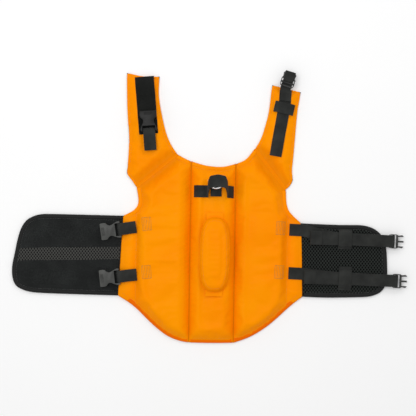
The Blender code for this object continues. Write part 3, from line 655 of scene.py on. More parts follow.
def padded_panel(panel, step=6.5):
    ring = RINGS[panel]
    seam = foam_seam(panel)
    points, faces = filled(ring, step, [seam] if seam else [])
    heights, reach = panel_shape(panel, points)
    count = len(points)
    bm = slab(points, faces, len(ring), heights, [FLOOR_Z] * count, under=1)
    obj = make(f"{panel}_pad", bm, [ORANGE, LINING], 180.0)
    pinned = [i for i in range(count) if reach[i] < PINNED] + list(range(count, 2 * count))
    swell(obj, pinned, 3.0, 0.018, 3.0)
    for i in range(count):
        v = obj.data.vertices[i]
        v.co.z += pucker(points[i].x, points[i].y, reach[i]) * MM
        for bar in SOCKET_BARS:
            if (v.co.xy - bar.xy).length < BAR_ROOM * MM:
                v.co.z = min(v.co.z, bar.z - BAR_CLEAR * MM)
    # Painted shade: the seam attribute darkens the cloth beside the stitched lines and in a band along each
    # wing fold, where the valleys lie in shade.
    mark = obj.data.attributes.new("seam", "FLOAT", "POINT")
    dark = [SEAM_SHADE * math.exp(-r / 3.0) for r in reach] + [0.0] * count
    for line in (line for fold, line in FOLDS.items() if "wing" in fold):
        near = segment_gaps(points, [line[0]], [line[1]])[:, 0]
        for i in range(count):
            past = max(0.0, near[i] - FLAT_BY_FOLD["wing"])
            dark[i] = max(dark[i], WING_SHADE * math.exp(-past / 4.0))
    mark.data.foreach_set("value", dark)
    subdivided(obj)
    obj.data.shade_smooth()
    dressed(obj, BODY_OF[panel], "orange_shell", f"{panel}_shell", f"{panel}_foam")
    return obj


pads = {panel: padded_panel(panel) for panel in PANELS}
for panel, obj in pads.items():
    print(panel, "pad:", len(obj.data.polygons), "faces, top at",
          round(max(v.co.z for v in obj.data.vertices) / MM, 1), "mm")

# %% [markdown]
# ## What lies on what
# Webbing, tape and stitches have to lie on pads that the simulation has shaped, so their heights
# come from rays cast down on the finished pads instead of from numbers.

# %% Rays down on the cloth
def tree_of(obj):
    mesh = obj.data
    return BVHTree.FromPolygons(
        [v.co.copy() for v in mesh.vertices], [tuple(p.vertices) for p in mesh.polygons]
    )


cloth = {panel: tree_of(obj) for panel, obj in pads.items()}
print("rays can fall on", len(cloth), "pads")


def height_on(tree, x, y, fallback=0.0):
    """Height in millimetres of the highest surface under a point of the plan."""
    hit = tree.ray_cast(Vector((x * MM, y * MM, 0.2)), Vector((0.0, 0.0, -1.0)))[0]
    return hit.z / MM if hit else fallback


def lie_on(tree, x, y, across, half, fallback=0.0):
    """Height at which something of the given half width clears the cloth below it."""
    spots = [(x + across.x * half * k, y + across.y * half * k) for k in (-1, -0.5, 0, 0.5, 1)]
    return max(height_on(tree, a, b, fallback) for a, b in spots)


class Place:
    """A buckle's or strap's frame: u along it, v across it, w up, from its bar."""

    def __init__(self, origin, along):
        self.origin = Vector(origin)
        self.along = Vector(along).normalized()
        self.across = Vector((-self.along.y, self.along.x, 0.0))

    def at(self, u, v=0.0, w=0.0):
        return self.origin + self.along * u + self.across * v + Vector((0.0, 0.0, w))


def arc(centre, radius, start, end, steps):
    turns = [math.radians(start + (end - start) * k / steps) for k in range(steps + 1)]
    return [(centre[0] + radius * math.cos(a), centre[1] + radius * math.sin(a)) for a in turns]


# %% [markdown]
# ## Webbing
# Webbing is a flat weave with a round, slightly thicker edge. Each strap is swept along its path
# with that section, with a little wander so that no edge is ruler straight. Its UVs are in
# metres: u runs along the strap, so that the ribs of the weave stay square to it round a bar.

# %% A strap from a path
def resampled(path, step):
    """Points of a polyline at even spacing, corners softened."""
    pts = [Vector(p) for p in path]
    lengths = [0.0]
    for a, b in zip(pts, pts[1:]):
        lengths.append(lengths[-1] + (b - a).length)
    count = max(2, round(lengths[-1] / step))
    out = []
    i = 0
    for k in range(count + 1):
        d = lengths[-1] * k / count
        while i < len(pts) - 2 and lengths[i + 1] < d:
            i += 1
        t = (d - lengths[i]) / max(1e-9, lengths[i + 1] - lengths[i])
        out.append(pts[i].lerp(pts[i + 1], min(1.0, t)))
    return out


def eased(points, times):
    for _ in range(times):
        inner = [(a + 2 * b + c) / 4 for a, b, c in zip(points, points[1:], points[2:])]
        points = [points[0]] + inner + [points[-1]]
    return points


def strap_section(width, thick):
    """Half-width and height of points round a strap: flat, with a bead along each edge."""
    half, t = width / 2, thick / 2
    bead = min(1.1, half * 0.3)
    top = [
        (-half, 0), (-half + 0.35 * bead, 0.95 * t), (-half + 1.6 * bead, 0.8 * t),
        (-half * 0.45, t), (0, t), (half * 0.45, t), (half - 1.6 * bead, 0.8 * t),
        (half - 0.35 * bead, 0.95 * t), (half, 0),
    ]
    return top + [(a, -b) for a, b in top[-2:0:-1]]


# %% A strap swept along its path
def sweep(bm, uv, path, across, width, thick, wander=0.25, level=False):
    """One closed strap along a path; a level strap keeps its width flat while it climbs."""
    last = len(path) - 1
    rows, run = [], 0.0
    for i, p in enumerate(path):
        section = strap_section(width(i / last) if callable(width) else width, thick)
        along = (path[min(i + 1, last)] - path[max(i - 1, 0)]).normalized()
        flat = across(i / last) if callable(across) else Vector(across)
        if not level:
            flat = (flat - along * flat.dot(along)).normalized()
        up = along.cross(flat).normalized()
        run += (p - path[i - 1]).length if i else 0.0
        sway = noise.noise(Vector((p.x, p.y, 5.0 + p.z)) * 0.05) * wander
        rows.append([(bm.verts.new(p + flat * (a + sway) + up * b), run, a) for a, b in section])
    count = len(section)
    for a, b in zip(rows, rows[1:]):
        for k in range(count):
            ring = (a[k], a[k - 1], b[k - 1], b[k])
            face = bm.faces.new([r[0] for r in ring])
            for loop, r in zip(face.loops, ring):
                loop[uv].uv = (r[1] * MM, r[2] * MM)
    for row, flip in ((rows[0], False), (rows[-1], True)):
        face = bm.faces.new([r[0] for r in (reversed(row) if flip else row)])
        for loop in face.loops:
            loop[uv].uv = (0.0, 0.0)


def strap(name, path, across, width, body, nodes, thick=1.5, step=3.0, ease=1, finish=None,
          slot="webbing", level=False):
    bm = bmesh.new()
    uv = bm.loops.layers.uv.new("UVMap")
    sweep(bm, uv, eased(resampled(path, step), ease), across, width, thick, level=level)
    obj = make(name, bm, finish or TAPE, 60.0)
    if isinstance(body, tuple):
        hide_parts(*nodes)
        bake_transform(obj)
    else:
        dressed(obj, body, slot, *nodes)
    return obj


# %% [markdown]
# ## Buckles
# A moulded buckle has no sharp edge: the tool leaves a radius of about half a millimetre. Each
# buckle part starts from its exact solid, with flat faces merged back into one, and its edges
# are then rounded. The socket also gets the raised grips that fingers find.

# %% Rounded mouldings from exact solids
def rounded_solid(name, node, radius, finish, body, extra=None):
    bm = bmesh.new()
    bm.from_mesh(frame["nodes"][node].data)
    bmesh.ops.remove_doubles(bm, verts=bm.verts, dist=0.00001)
    flat = math.radians(1.5)
    bmesh.ops.dissolve_limit(bm, angle_limit=flat, verts=bm.verts, edges=bm.edges)
    mesh = bpy.data.meshes.new(name)
    if extra:
        extra(bm)
    bm.to_mesh(mesh)
    bm.free()
    mesh.materials.clear()
    mesh.materials.append(finish)
    obj = bpy.data.objects.new(name, mesh)
    bpy.context.collection.objects.link(obj)
    soft = obj.modifiers.new("radius", "BEVEL")
    soft.width = radius * MM
    soft.segments = 2
    soft.limit_method = "ANGLE"
    soft.angle_limit = math.radians(35)
    settle(obj)
    obj.data.shade_smooth()
    obj.data.set_sharp_from_angle(angle=math.radians(40))
    return dressed(obj, body, "buckle_plastic", node)


def grips(place, spots, half, high):
    """Returns a builder that adds raised ribs across a buckle, at the given u and height."""

    def build(bm):
        for u in spots:
            section = [(-0.8, -0.3), (-0.45, 0.35), (0.45, 0.35), (0.8, -0.3)]
            rows = []
            for v in (-half, half):
                rows.append([bm.verts.new(place.at(u + a, v, high + b) * MM) for a, b in section])
            bm.faces.new(rows[0])
            bm.faces.new(reversed(rows[1]))
            for k in range(4):
                bm.faces.new((rows[0][k - 1], rows[0][k], rows[1][k], rows[1][k - 1]))

    return build


def joint_place(name, along_sign=1.0):
    """The frame of a socket from its hinge: the hinge's axis runs across it."""
    joint = joints[name]
    axis = Vector(joint["axis"])
    along = Vector((-axis.y, axis.x, 0.0)) * along_sign
    return Place(Vector(joint["pos_m"]) / MM, along)


# %% Sockets
SOCKETS = {n: joint_place(f"{n}_socket_swing") for n in ("upper", "lower", "neck")}
for n, place in SOCKETS.items():
    top = (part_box(f"{n}_socket")[1].z / MM) - place.origin.z
    rib = grips(place, (30.0, 32.2, 34.4), 8.0, top)
    finish = BUCKLE_DARK if n == "neck" else BUCKLE
    rounded_solid(f"{n}_buckle_socket", f"{n}_socket", 0.55, finish, f"{n}_socket", rib)


# %% Plugs and their latch arms
def plug_place(n):
    along = Vector(joints[f"{n}_strap_adjust"]["axis"])
    arms = [Vector(joints[f"{n}_plug_{s}_arm_squeeze"]["pos_m"]) / MM for s in ("left", "right")]
    return Place((arms[0] + arms[1]) / 2 - along * 10.3, along)


PLUGS = {n: plug_place(n) for n in ("upper", "lower", "neck")}
for n, place in PLUGS.items():
    body = f"{n}_adjuster"
    rounded_solid(f"{n}_buckle_plug", f"{n}_plug", 0.45, PLUG_BLACK, body)
    for s in ("left", "right"):
        arm = f"{n}_plug_{s}_arm"
        rounded_solid(f"{n}_buckle_{s}_arm", arm, 0.35, PLUG_BLACK, arm)
print("buckles:", len(SOCKETS), "sockets and", len(PLUGS), "plugs")
for n, place in {**SOCKETS, **PLUGS}.items():
    print(n, [round(c, 1) for c in place.origin], [round(c, 3) for c in place.along])


# %% Webbing stubs on the left
WEB = 1.5
BAR_TURN = 3.15
STUB_END = {"upper": (-147.5, -43.0), "lower": (-145.0, -137.8), "neck": (-120.8, 109.7)}
STUB_BODY = {"upper": "left_flank", "lower": "left_flank", "neck": "left_wing"}


def round_bar(place, start=90, end=-90):
    return [place.at(u, 0, w) for u, w in arc((0, 0), BAR_TURN, start, end, 10)]


for n, place in SOCKETS.items():
    tree = cloth[STUB_BODY[n]]
    end = Vector((*STUB_END[n], 0.0))
    near = place.at(-3.0)
    path = []
    for k in range(9):
        p = end.lerp(near, k / 8)
        lift = lie_on(tree, p.x, p.y, place.across, 12.0) + WEB / 2
        path.append(Vector((p.x, p.y, max(lift, place.origin.z - 1.0 + k * 0.5))))
    under = [place.at(u, 0, -BAR_TURN) for u in (-1.5, -4.0)]
    full = path + round_bar(place) + under
    strap(f"{n}_socket_webbing", full, place.across, 24.0, STUB_BODY[n], [f"{n}_socket_stub"])
    print(n, "stub lies at", round(path[0].z, 1), "mm where it is sewn")


# %% [markdown]
# ## Straps on the right
# The belly strap is sewn to the flank, crosses the fold and stops under the plug. Its other half
# slides: it comes from inside the keeper, turns round the plug's bar and runs back over both
# layers to a folded end. The half that is sewn down crosses a hinge; the half that slides rides
# with the plug.

# %% Belly straps, tails and keepers
LAYER = 1.8
BELLY_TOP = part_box("right_belly_binding")[1].z / MM
STRAP_Z = BELLY_TOP + 0.3 + WEB / 2
FOLD_X = joints["right_belly_fold"]["pos_m"][0] / MM


def node_middle_y(node):
    low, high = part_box(node)
    return (low.y + high.y) / 2 / MM


for n, tail_end in (("upper", -163.5), ("lower", -183.0)):
    place = PLUGS[n]
    slope = place.along.y / place.along.x
    low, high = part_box(f"{n}_strap_root")
    start_x, root_y = low.x / MM + 1.0, node_middle_y(f"{n}_strap_root")
    root_x = (low.x + high.x) / 2 / MM
    path = []
    for k in range(9):
        x = start_x + (FOLD_X - 1.5 - start_x) * k / 8
        y = root_y + (x - root_x) * slope
        lift = lie_on(cloth["right_flank"], x, y, place.across, 12.0) + WEB / 2 + 0.1
        path.append(Vector((x, y, max(lift, STRAP_Z))))
    offset = path[-1].y - (place.origin.y + (path[-1].x - place.origin.x) * slope)
    for x, share in ((FOLD_X + 12, 0.85), (FOLD_X + 40, 0.4), (FOLD_X + 75, 0.0)):
        y = place.origin.y + (x - place.origin.x) * slope + offset * share
        path.append(Vector((x, y, STRAP_Z)))
    path.append(Vector((*place.at(-25.0).xy, STRAP_Z)))
    fold_y = path[9].y
    strap(
        f"{n}_belly_strap", path, place.across, 24.0,
        ("right_flank", "right_belly", (
            (FOLD_X - 6) * MM, fold_y * MM, 0.006), ((FOLD_X + 6) * MM, fold_y * MM, 0.006)),
        [f"{n}_strap_root", f"{n}_strap"], ease=3,
    )
    low_z = STRAP_Z + LAYER - place.origin.z
    top_z = low_z + LAYER
    back = [(-84, low_z), (-24, low_z), (-12, -BAR_TURN + 0.4), (-3, -BAR_TURN)]
    turn = arc((0, 0), BAR_TURN, -90, 90, 10)
    out = [(-3, BAR_TURN), (-12, BAR_TURN - 0.2), (-24, top_z), (tail_end, top_z)]
    hem = [(tail_end - 1.6, top_z + LAYER / 2), (tail_end, top_z + LAYER), (tail_end + 22, top_z + LAYER)]
    tail = [place.at(u, 0, w) for u, w in back + turn[1:-1] + out + hem]
    strap(
        f"{n}_sliding_strap", tail, place.across, lambda t: 24.0 + 3.2 * min(1.0, max(0.0, t * 5 - 3)),
        f"{n}_adjuster", [f"{n}_strap_tail"], step=2.0,
    )


# %% Keepers
def keeper(name, node, place, u, width, half, low, stack, body):
    foot, inner = half, 15.2
    high = low + stack
    profile = [(-foot, low), (-inner - 1.6, low + 0.1), (-inner, high - 0.5), (-inner + 2, high)]
    profile += [(0, high + 0.3)] + [(-v, w) for v, w in reversed(profile)]
    path = [Vector((*place.at(u, v).xy, w)) for v, w in profile]
    strap(name, path, place.along, width, body, [node], thick=1.2, step=1.6)


for n, u, width, half in (("upper", -95.0, 27.0, 20.5), ("lower", -102.0, 26.0, 23.5)):
    low = BELLY_TOP + 0.9
    keeper(f"{n}_strap_keeper", f"{n}_keeper", PLUGS[n], u, width, half, low, 5.6, "right_belly")
print("the belly straps lie", round(STRAP_Z, 1), "mm above the table")


# %% Neck strap and its loop tape
wing = cloth["right_wing"]
place = PLUGS["neck"]
lean = Vector((1.0, -0.15, 0.0)).normalized()
NECK_RUN = [(127.5, 102.2), (144.2, 203.2), (146.2, 234.2)]
path = []
for a, b, count in ((NECK_RUN[0], NECK_RUN[1], 8), (NECK_RUN[1], NECK_RUN[2], 3)):
    for k in range(count):
        p = Vector((*a, 0.0)).lerp(Vector((*b, 0.0)), k / count)
        path.append(Vector((p.x, p.y, lie_on(wing, p.x, p.y, lean, 12.0, 9.0) + 0.85)))
path.append(Vector((*NECK_RUN[2], path[-1].z)))
wing_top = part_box("neck_strap")[1].z / MM - WEB / 2
path = [Vector((p.x, p.y, max(p.z, wing_top - 1.0))) for p in path]
strap("neck_webbing", path, lean, 24.0, "right_wing", ["neck_strap"], ease=2)
low_z = wing_top + LAYER - place.origin.z
turn = arc((0, 0), BAR_TURN, -90, 60, 9)
out = [(4.6, BAR_TURN + 0.9), (9, BAR_TURN + 1.0), (22.5, BAR_TURN + 0.6)]
tail = [Vector((*spot, place.origin.z + low_z)) for spot in ((145.3, 212.2), (146.6, 226.2))]
tail += [place.at(u, 0, w) for u, w in [(-14, low_z), (-3, -BAR_TURN)] + turn[1:] + out]
first = Vector((-1.0, 0.1, 0.0))
strap("neck_sliding_strap", tail, lambda t: first.lerp(place.across, min(1.0, t * 3)).normalized(), 21.0,
      "neck_adjuster", ["neck_strap_tail"], step=2.0)
low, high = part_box("neck_keeper")
middle = (low + high) / 2 / MM
spot = Place((middle.x, middle.y, 0.0), (math.cos(math.radians(77.5)), math.sin(math.radians(77.5)), 0))
keeper("neck_strap_keeper", "neck_keeper", spot, 0.0, 22.0, 20.0, low.z / MM + 0.6, 2.9, "right_wing")

TAPE_RUN = (Vector((-125.2, 142.7, 0.0)), Vector((-136.0, 256.8, 0.0)))
heading = (TAPE_RUN[1] - TAPE_RUN[0]).normalized()
side = Vector((heading.y, -heading.x, 0.0))
path = []
for k in range(25):
    p = TAPE_RUN[0].lerp(TAPE_RUN[1], k / 24)
    path.append(Vector((p.x, p.y, lie_on(cloth["left_wing"], p.x, p.y, side, 19.0, 5.0) + 0.6)))
TAPE_LOOP = loop_cloth("tape_loop", (0.002, 0.0025, 0.002), (0.014, 0.015, 0.0135))
strap("chest_loop_tape", path, side, 38.0, "left_wing", ["loop_tape"], thick=1.4, ease=4,
      finish=TAPE_LOOP, slot="black_cloth")
print("straps done")


# %% [markdown]
# ## Leash strap, tab and ring
# A strap is sewn across the spine at both ends and stands up in a loop between. Under it a short
# tab holds the ring, a bent wire of round section with a straight bar in the tab's fold.

# %% The leash loop and its ring
spine = cloth["spine"]
CROWN_LIFT = 18.4
y = (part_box("leash_strap")[0].y / MM) + 12.6
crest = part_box("leash_strap")[1].z / MM - CROWN_LIFT - WEB / 2
flat = [(-33.0, 0), (-29, 0), (-24, 0), (-18, 0), (-9, 0), (-5.6, 2.0), (-5.5, 7.5)]
crown = [(-5.0, 13.5, 9.0), (-1.5, 17.6, 18.5), (13.8, 18.4, 21.5), (29.0, 17.6, 18.5), (32.5, 13.5, 9.0)]
falls = [(33.0, 7.5), (33.1, 2.0), (35.6, 0.0), (37.5, 0.0), (41.0, 0.0), (45.5, 0.0)]


def spine_web(x, lift, at_y):
    rest = lie_on(spine, x, at_y, Vector((0, 1, 0)), 12.0) + WEB / 2 + 0.1
    return Vector((x, at_y, max(rest, crest if lift else 0.0) + lift))


path = [spine_web(x, lift, y) for x, lift in flat]
path += [Vector((x, y + lean_y, crest + lift)) for x, lift, lean_y in crown]
path += [spine_web(x, lift, y - 0.08 * (x - 32)) for x, lift in falls]
strap("leash_loop_strap", path, (0, 1, 0), 24.0, "back", ["leash_strap"], step=1.6, ease=2, level=True)
bar = Vector(joints["leash_ring_swing"]["pos_m"]) / MM
rest = bar.z - BAR_TURN
back = [(20.2, rest), (34.2, rest), (bar.y - 2, rest)]
turn = arc((bar.y, bar.z), BAR_TURN, -90, 100, 10)
end = [(bar.y - 4.2, bar.z + 0.9), (bar.y - 5.6, rest + LAYER + 0.1)]
path = [Vector((bar.x, a, b)) for a, b in back + turn + end]
strap("ring_holding_tab", path, (1, 0, 0), 22.0, "back", ["ring_tab"], step=1.6)

wire = [(-15.0, 0.0)] + arc((0.0, -0.95), 15.08, 184, 356, 28) + [(15.0, 0.0)]
wire += [(15.0 * k, 0.0) for k in (0.5, 0.0, -0.5)]
loop = [bar + Vector((a, b, 0.0)) for a, b in wire]
loop = resampled(loop + [loop[0]], 1.6)[:-1]
for _ in range(2):
    loop = [(loop[i - 1] + 2 * loop[i] + loop[(i + 1) % len(loop)]) / 4 for i in range(len(loop))]
dressed(make("leash_ring_wire", closed_cord(loop, 2.0, 14), STEEL, 180.0),
        "leash_ring", "ring_steel", "leash_ring")
print("leash loop stands", round(crest + CROWN_LIFT, 1), "mm high; the ring has", len(loop), "bends")


# %% [markdown]
# ## Grab handle
# The grip is a padded oval that arches over the spine. Its cover wraps a foam core and is piped
# round the edge. A strap below carries the load to an anchor at each end.

# %% The padded grip
grip_low, grip_high = (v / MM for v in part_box("handle_cover"))
GRIP_MID = Vector(((grip_low.x + grip_high.x) / 2, (grip_low.y + grip_high.y) / 2))
GRIP_HALF = Vector(((grip_high.x - grip_low.x) / 2, (grip_high.y - grip_low.y) / 2))
GRIP_ARCH = 8.5
GRIP_TOP = grip_high.z - grip_low.z - GRIP_ARCH


def grip_under(y):
    s = (y - GRIP_MID.y) / GRIP_HALF.y
    return grip_low.z + GRIP_ARCH * (1 - min(1.0, s * s)) ** 0.8


def oval(half, count, power=2.9):
    out = []
    for k in range(count):
        a = math.tau * (k + 0.5) / count
        c, s = math.cos(a), math.sin(a)
        r = (abs(c) ** power + abs(s) ** power) ** (-1 / power)
        out.append(GRIP_MID + Vector((half.x * r * c, half.y * r * s)))
    return out


grip_ring = oval(GRIP_HALF, 72)
points, faces = filled(grip_ring, 5.5)
edge = segment_gaps(points, [grip_ring[i - 1] for i in range(len(grip_ring))], grip_ring).min(1)
share = np.minimum(edge / 18.0, 1.0)
high = 2.2 + (GRIP_TOP - 3.0) * (1 - (1 - share) ** 2.4)
roll = np.array([max(0.0, (p.x - GRIP_MID.x) / GRIP_HALF.x) for p in points])
high += roll * (2.0 * np.exp(-(((edge - 7.0) / 4.0) ** 2)) - 1.8 * np.exp(-(((edge - 14.0) / 3.5) ** 2)))
under = [grip_under(p.y) for p in points]
bm = slab(points, faces, len(grip_ring), [u + h for u, h in zip(under, high)], under)
grip = make("grip_cover", bm, ORANGE, 180.0)
held = [i for i, d in enumerate(edge) if d < 2.0]
held += [len(points) + i for i in range(len(points))]
swell(grip, held, 3.5, 0.03, 5.0)
for i, p in enumerate(points):
    grip.data.vertices[i].co.z += 0.8 * pucker(p.x * 1.6, p.y * 1.6, edge[i]) * MM
# Painted shade along the grip's edge, where the cover dips down to the piping.
mark = grip.data.attributes.new("seam", "FLOAT", "POINT")
mark.data.foreach_set("value", [0.35 * math.exp(-d / 2.6) for d in edge] + [0.0] * len(points))
subdivided(grip)
grip.data.shade_smooth()
dressed(grip, "handle", "orange_shell", "handle_cover", "handle_foam")


# %% Piping round the grip
PIPING = 1.5
inner = [(*p, grip_under(p.y) + PIPING) for p in oval(GRIP_HALF - Vector((1.3, 1.3)), 96)]
piping = closed_cord([Vector(p) for p in inner], PIPING, 10)
dressed(make("grip_piping", piping, ORANGE, 180.0), "handle", "orange_binding")


path = []
for k in range(25):
    y = GRIP_MID.y + (k / 24 - 0.5) * 2 * (GRIP_HALF.y - 4)
    path.append(Vector((GRIP_MID.x, y, grip_under(y) - 0.9)))
strap("grip_load_strap", path, (1, 0, 0), 34.0, "handle", ["handle_strap"], thick=1.0,
      finish=HEM, slot="orange_binding")
for name, sign in (("front", 1), ("rear", -1)):
    near = GRIP_MID.y + sign * (GRIP_HALF.y - 13)
    far = GRIP_MID.y + sign * (GRIP_HALF.y + 9)
    path = []
    for k in range(9):
        y = near + (far - near) * k / 8
        lift = lie_on(spine, GRIP_MID.x, y, Vector((1, 0, 0)), 17.0) + 0.6
        share = 1 - k / 8
        path.append(Vector((GRIP_MID.x, y, max(lift, 19.9) + 0.9 * share * share)))
    strap(
        f"grip_{name}_anchor", path, (1, 0, 0), 34.0,
        ("back", "handle", (GRIP_MID.x * MM, (far - sign * 8) * MM, 0.02),
         (GRIP_MID.x * MM, near * MM, 0.02)),
        [f"handle_{name}_anchor"], thick=1.0, finish=ORANGE, slot="orange_shell",
    )
print("grip done")


# %% [markdown]
# ## Cloth across the folds
# The panels turn on their seams, so the cloth in each seam belongs to both. It is a narrow strip
# that sinks between the two pads.

# %% Fold strips
def fold_span(line, *rings):
    """Where along a fold the outlines beside it start and stop."""
    along = (line[1] - line[0]).normalized()
    found = []
    for ring in rings:
        near = [p for p in ring if segment_gaps([p], [line[0]], [line[1]])[0, 0] < 2.6]
        found += [(p - line[0]).dot(along) for p in near]
    return line[0] + along * min(found), line[0] + along * max(found)


def fold_strip(name, fold, ring_names, reach, heights, finish, painted_shade=0.6, wave=0.35):
    """A strip along a fold: heights are its top at the middle and towards its edges."""
    start, stop = fold_span(FOLDS[fold], *[RINGS[r] for r in ring_names])
    along = (stop - start).normalized()
    side = Vector((along.y, -along.x))
    count = max(8, round((stop - start).length / 4.0))
    bm = bmesh.new()
    rows = []
    for k in range(count + 1):
        p = start.lerp(stop, k / count)
        row = []
        for s in (-1, -0.6, -0.25, 0, 0.25, 0.6, 1):
            q = p + side * (s * reach)
            base = np.interp(abs(s), (0, 0.25, 0.6, 1), heights)
            ripple = wave * noise.noise(Vector((q.x * 0.1, q.y * 0.22, 9.0)))
            row.append(bm.verts.new((q.x, q.y, base + ripple)))
        for s in (1, 0, -1):
            q = p + side * (s * reach)
            row.append(bm.verts.new((q.x, q.y, 0.35)))
        rows.append(row)
    for a, b in zip(rows, rows[1:]):
        for k in range(len(a)):
            bm.faces.new((a[k - 1], a[k], b[k], b[k - 1]))
    bm.faces.new(rows[0])
    bm.faces.new(reversed(rows[-1]))
    obj = make(name, bm, finish, 70.0)
    mark = obj.data.attributes.new("seam", "FLOAT", "POINT")
    # Painted shade, darkest in the middle of the valley between the two pads.
    shades = [painted_shade * k for k in (0.25, 0.4, 0.8, 1.0, 0.8, 0.4, 0.25, 0.2, 0.2, 0.2)]
    mark.data.foreach_set("value", shades * (count + 1))
    middle = (start + stop) / 2
    towards = 1.0 if (ring_centre(ring_names[1]) - middle).dot(side) > 0 else -1.0
    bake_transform(obj)
    return obj


def ring_centre(name):
    return sum(RINGS[name], Vector((0.0, 0.0))) / len(RINGS[name])


# %% A strip on every fold
BELLIES = ("left_belly", "right_belly")
for belly in BELLIES:
    RINGS[belly] = redrawn(plate_ring(f"{belly}_backing"), 6.0)
for side_name in ("left", "right"):
    flank, wing_name = f"{side_name}_flank", f"{side_name}_wing"
    fold_strip(f"{side_name}_spine_seam", f"{flank}_fold", ("spine", flank),
               2.3, (2.1, 2.3, 2.9, 3.25), ORANGE, 0.9)
    fold_strip(f"{side_name}_wing_seam", f"{wing_name}_fold", (flank, wing_name),
               2.4, (2.5, 2.7, 3.0, 3.3), ORANGE, 0.35)
    belly = f"{side_name}_belly"
    fold_strip(f"{belly}_root", f"{belly}_fold", (flank, belly),
               3.2, (2.6, 2.7, 2.8, 2.8), BIND)
print("strips lie in", len(FOLDS), "folds")


# %% [markdown]
# ## Bound edges
# Every free edge of a panel is closed with tape folded over it. The tape's section is a flat
# hook round the edge, and it is swept along each run of free edge between two folds.

# %% Hem runs
def free_runs(name):
    """Open runs of an outline's free edge."""
    ring = RINGS[name]
    kinds = edge_kinds(ring)
    n = len(ring)
    runs, now = [], []
    first = next(i for i in range(n) if kinds[i] != "hem")
    for k in range(1, n + 1):
        i = (first + k) % n
        if kinds[i] == "hem":
            now = now or [ring[i - 1]]
            now.append(ring[i])
        elif now:
            runs.append(now)
            now = []
    if now:
        runs.append(now)
    return runs


# %% Bound hems
def bound(name, run, section, finish, body, slot, nodes=(), seam=0.0, wave=0.12):
    """Sweep a section of (depth inside the edge, height) along an open run of edge."""
    bm = bmesh.new()
    run = eased(run, 2)
    run[0] = run[0] + (run[1] - run[0]).normalized() * 2.2
    run[-1] = run[-1] + (run[-2] - run[-1]).normalized() * 2.2
    last = len(run) - 1
    rows = []
    for i, p in enumerate(run):
        a = (p - run[i - 1]).normalized() if i else (run[1] - p).normalized()
        b = (run[i + 1] - p).normalized() if i < last else a
        inward = Vector((-a.y - b.y, a.x + b.x)) / max(0.6, 1 + a.dot(b))
        shift = wave * noise.noise(Vector((p.x * 0.11, p.y * 0.11, 2.0)))
        rows.append([bm.verts.new((*(p + inward * (d + shift)), z)) for d, z in section])
    for a, b in zip(rows, rows[1:]):
        for k in range(len(section)):
            bm.faces.new((a[k - 1], a[k], b[k], b[k - 1]))
    bm.faces.new(rows[0])
    bm.faces.new(reversed(rows[-1]))
    obj = make(name, bm, finish, 70.0)
    # Painted shade: a little on the bottom hems, almost none on the others.
    mark = obj.data.attributes.new("seam", "FLOAT", "POINT")
    mark.data.foreach_set("value", [seam] * len(obj.data.vertices))
    return dressed(obj, body, slot, *nodes)


for panel in PANELS:
    w = HEM_WIDTH[panel] - 0.3
    section = [
        (w, 3.2), (w - 0.3, 3.75), (w * 0.6, 3.9), (1.6, 3.8), (0.3, 3.2), (-0.35, 2.1),
        (0.2, 0.9), (1.6, 0.35), (w, 0.3),
    ]
    for k, run in enumerate(free_runs(panel)):
        low_run = sum(p.y for p in run) / len(run) < -150
        bound(f"{panel}_hem_{k}", run, section, HEM if low_run else ORANGE, BODY_OF[panel],
              "orange_binding", seam=0.1 if low_run else 0.02)


# %% [markdown]
# ## Stitching
# Lockstitch shows as a row of short, slightly sunk threads. Each row follows a line on the plan
# and takes its height from the cloth below; all the rows of one body make one mesh. Two boxes of
# darker thread on each flank hold the webbing that runs inside it.

# %% Rows of stitches
def row(bm, line, height, pitch=3.4, length=2.4, half=0.32):
    """Little closed threads, pointed at both ends, along a polyline of the plan."""
    points = resampled([Vector((p[0], p[1], 0.0)) for p in line], pitch)
    for a, b in zip(points, points[1:]):
        along = (b - a).normalized()
        side = Vector((-along.y, along.x, 0.0))
        middle = (a + b) / 2
        tips = [middle + along * (length / 2 * k) for k in (-1, 1)]
        ends = [bm.verts.new((t.x, t.y, height(t.x, t.y) - 0.15)) for t in tips]
        z = height(middle.x, middle.y)
        ring = [bm.verts.new((*(middle + side * (half * u)).xy, z + half * v))
                for u, v in ((1, 0), (0, 1), (-1, 0), (0, -1))]
        for k in range(4):
            bm.faces.new((ends[0], ring[k - 1], ring[k]))
            bm.faces.new((ends[1], ring[k], ring[k - 1]))


def inset_run(run, depth):
    out = []
    for i, p in enumerate(run):
        before, after = run[max(i - 1, 0)], run[min(i + 1, len(run) - 1)]
        along = (after - before).normalized()
        out.append(p + Vector((-along.y, along.x)) * depth)
    return out[1:-1]


def stitched(name, lines, tree, finish, body, slot, lift=0.1, **size):
    bm = bmesh.new()
    for line in lines:
        row(bm, line, lambda x, y: height_on(tree, x, y, 3.6) + lift, **size)
    return dressed(make(name, bm, finish, 180.0), body, slot)


# %% Rows beside the hems and the foam pockets
for panel in PANELS:
    depth = HEM_WIDTH[panel] + 0.6
    lines = [inset_run(run, depth) for run in free_runs(panel) if len(run) > 4]
    seam = foam_seam(panel)
    if seam:
        lines.append([seam[0].lerp(seam[1], k / 10) for k in range(11)])
    stitched(f"{panel}_stitches", lines, cloth[panel], ORANGE_THREAD, BODY_OF[panel], "orange_shell")


# %% Boxes of stitches on the flanks
BOXES = {
    "left_flank": [(-126.0, -36.3, 6.0), (-125.0, -131.8, 6.0)],
    "right_flank": [(140.0, -40.8, -3.0), (138.0, -127.8, -3.0)],
}


def box_lines(x, y, turn, half=(13.0, 9.0)):
    """A box of stitches with rows inside it, as sewn over an end of webbing."""
    c, d = math.cos(math.radians(turn)), math.sin(math.radians(turn))
    spots = [(-1, -1), (1, -1), (1, 1), (-1, 1), (-1, -1)]
    lines = [spots] + [[(-1, k), (1, k)] for k in (-0.7, -0.35, 0.0, 0.35, 0.7)]
    out = []
    for line in lines:
        turned = [(v * half[1], u * half[0]) for u, v in line]
        out.append([(x + a * c - b * d, y + a * d + b * c) for a, b in turned])
    return out


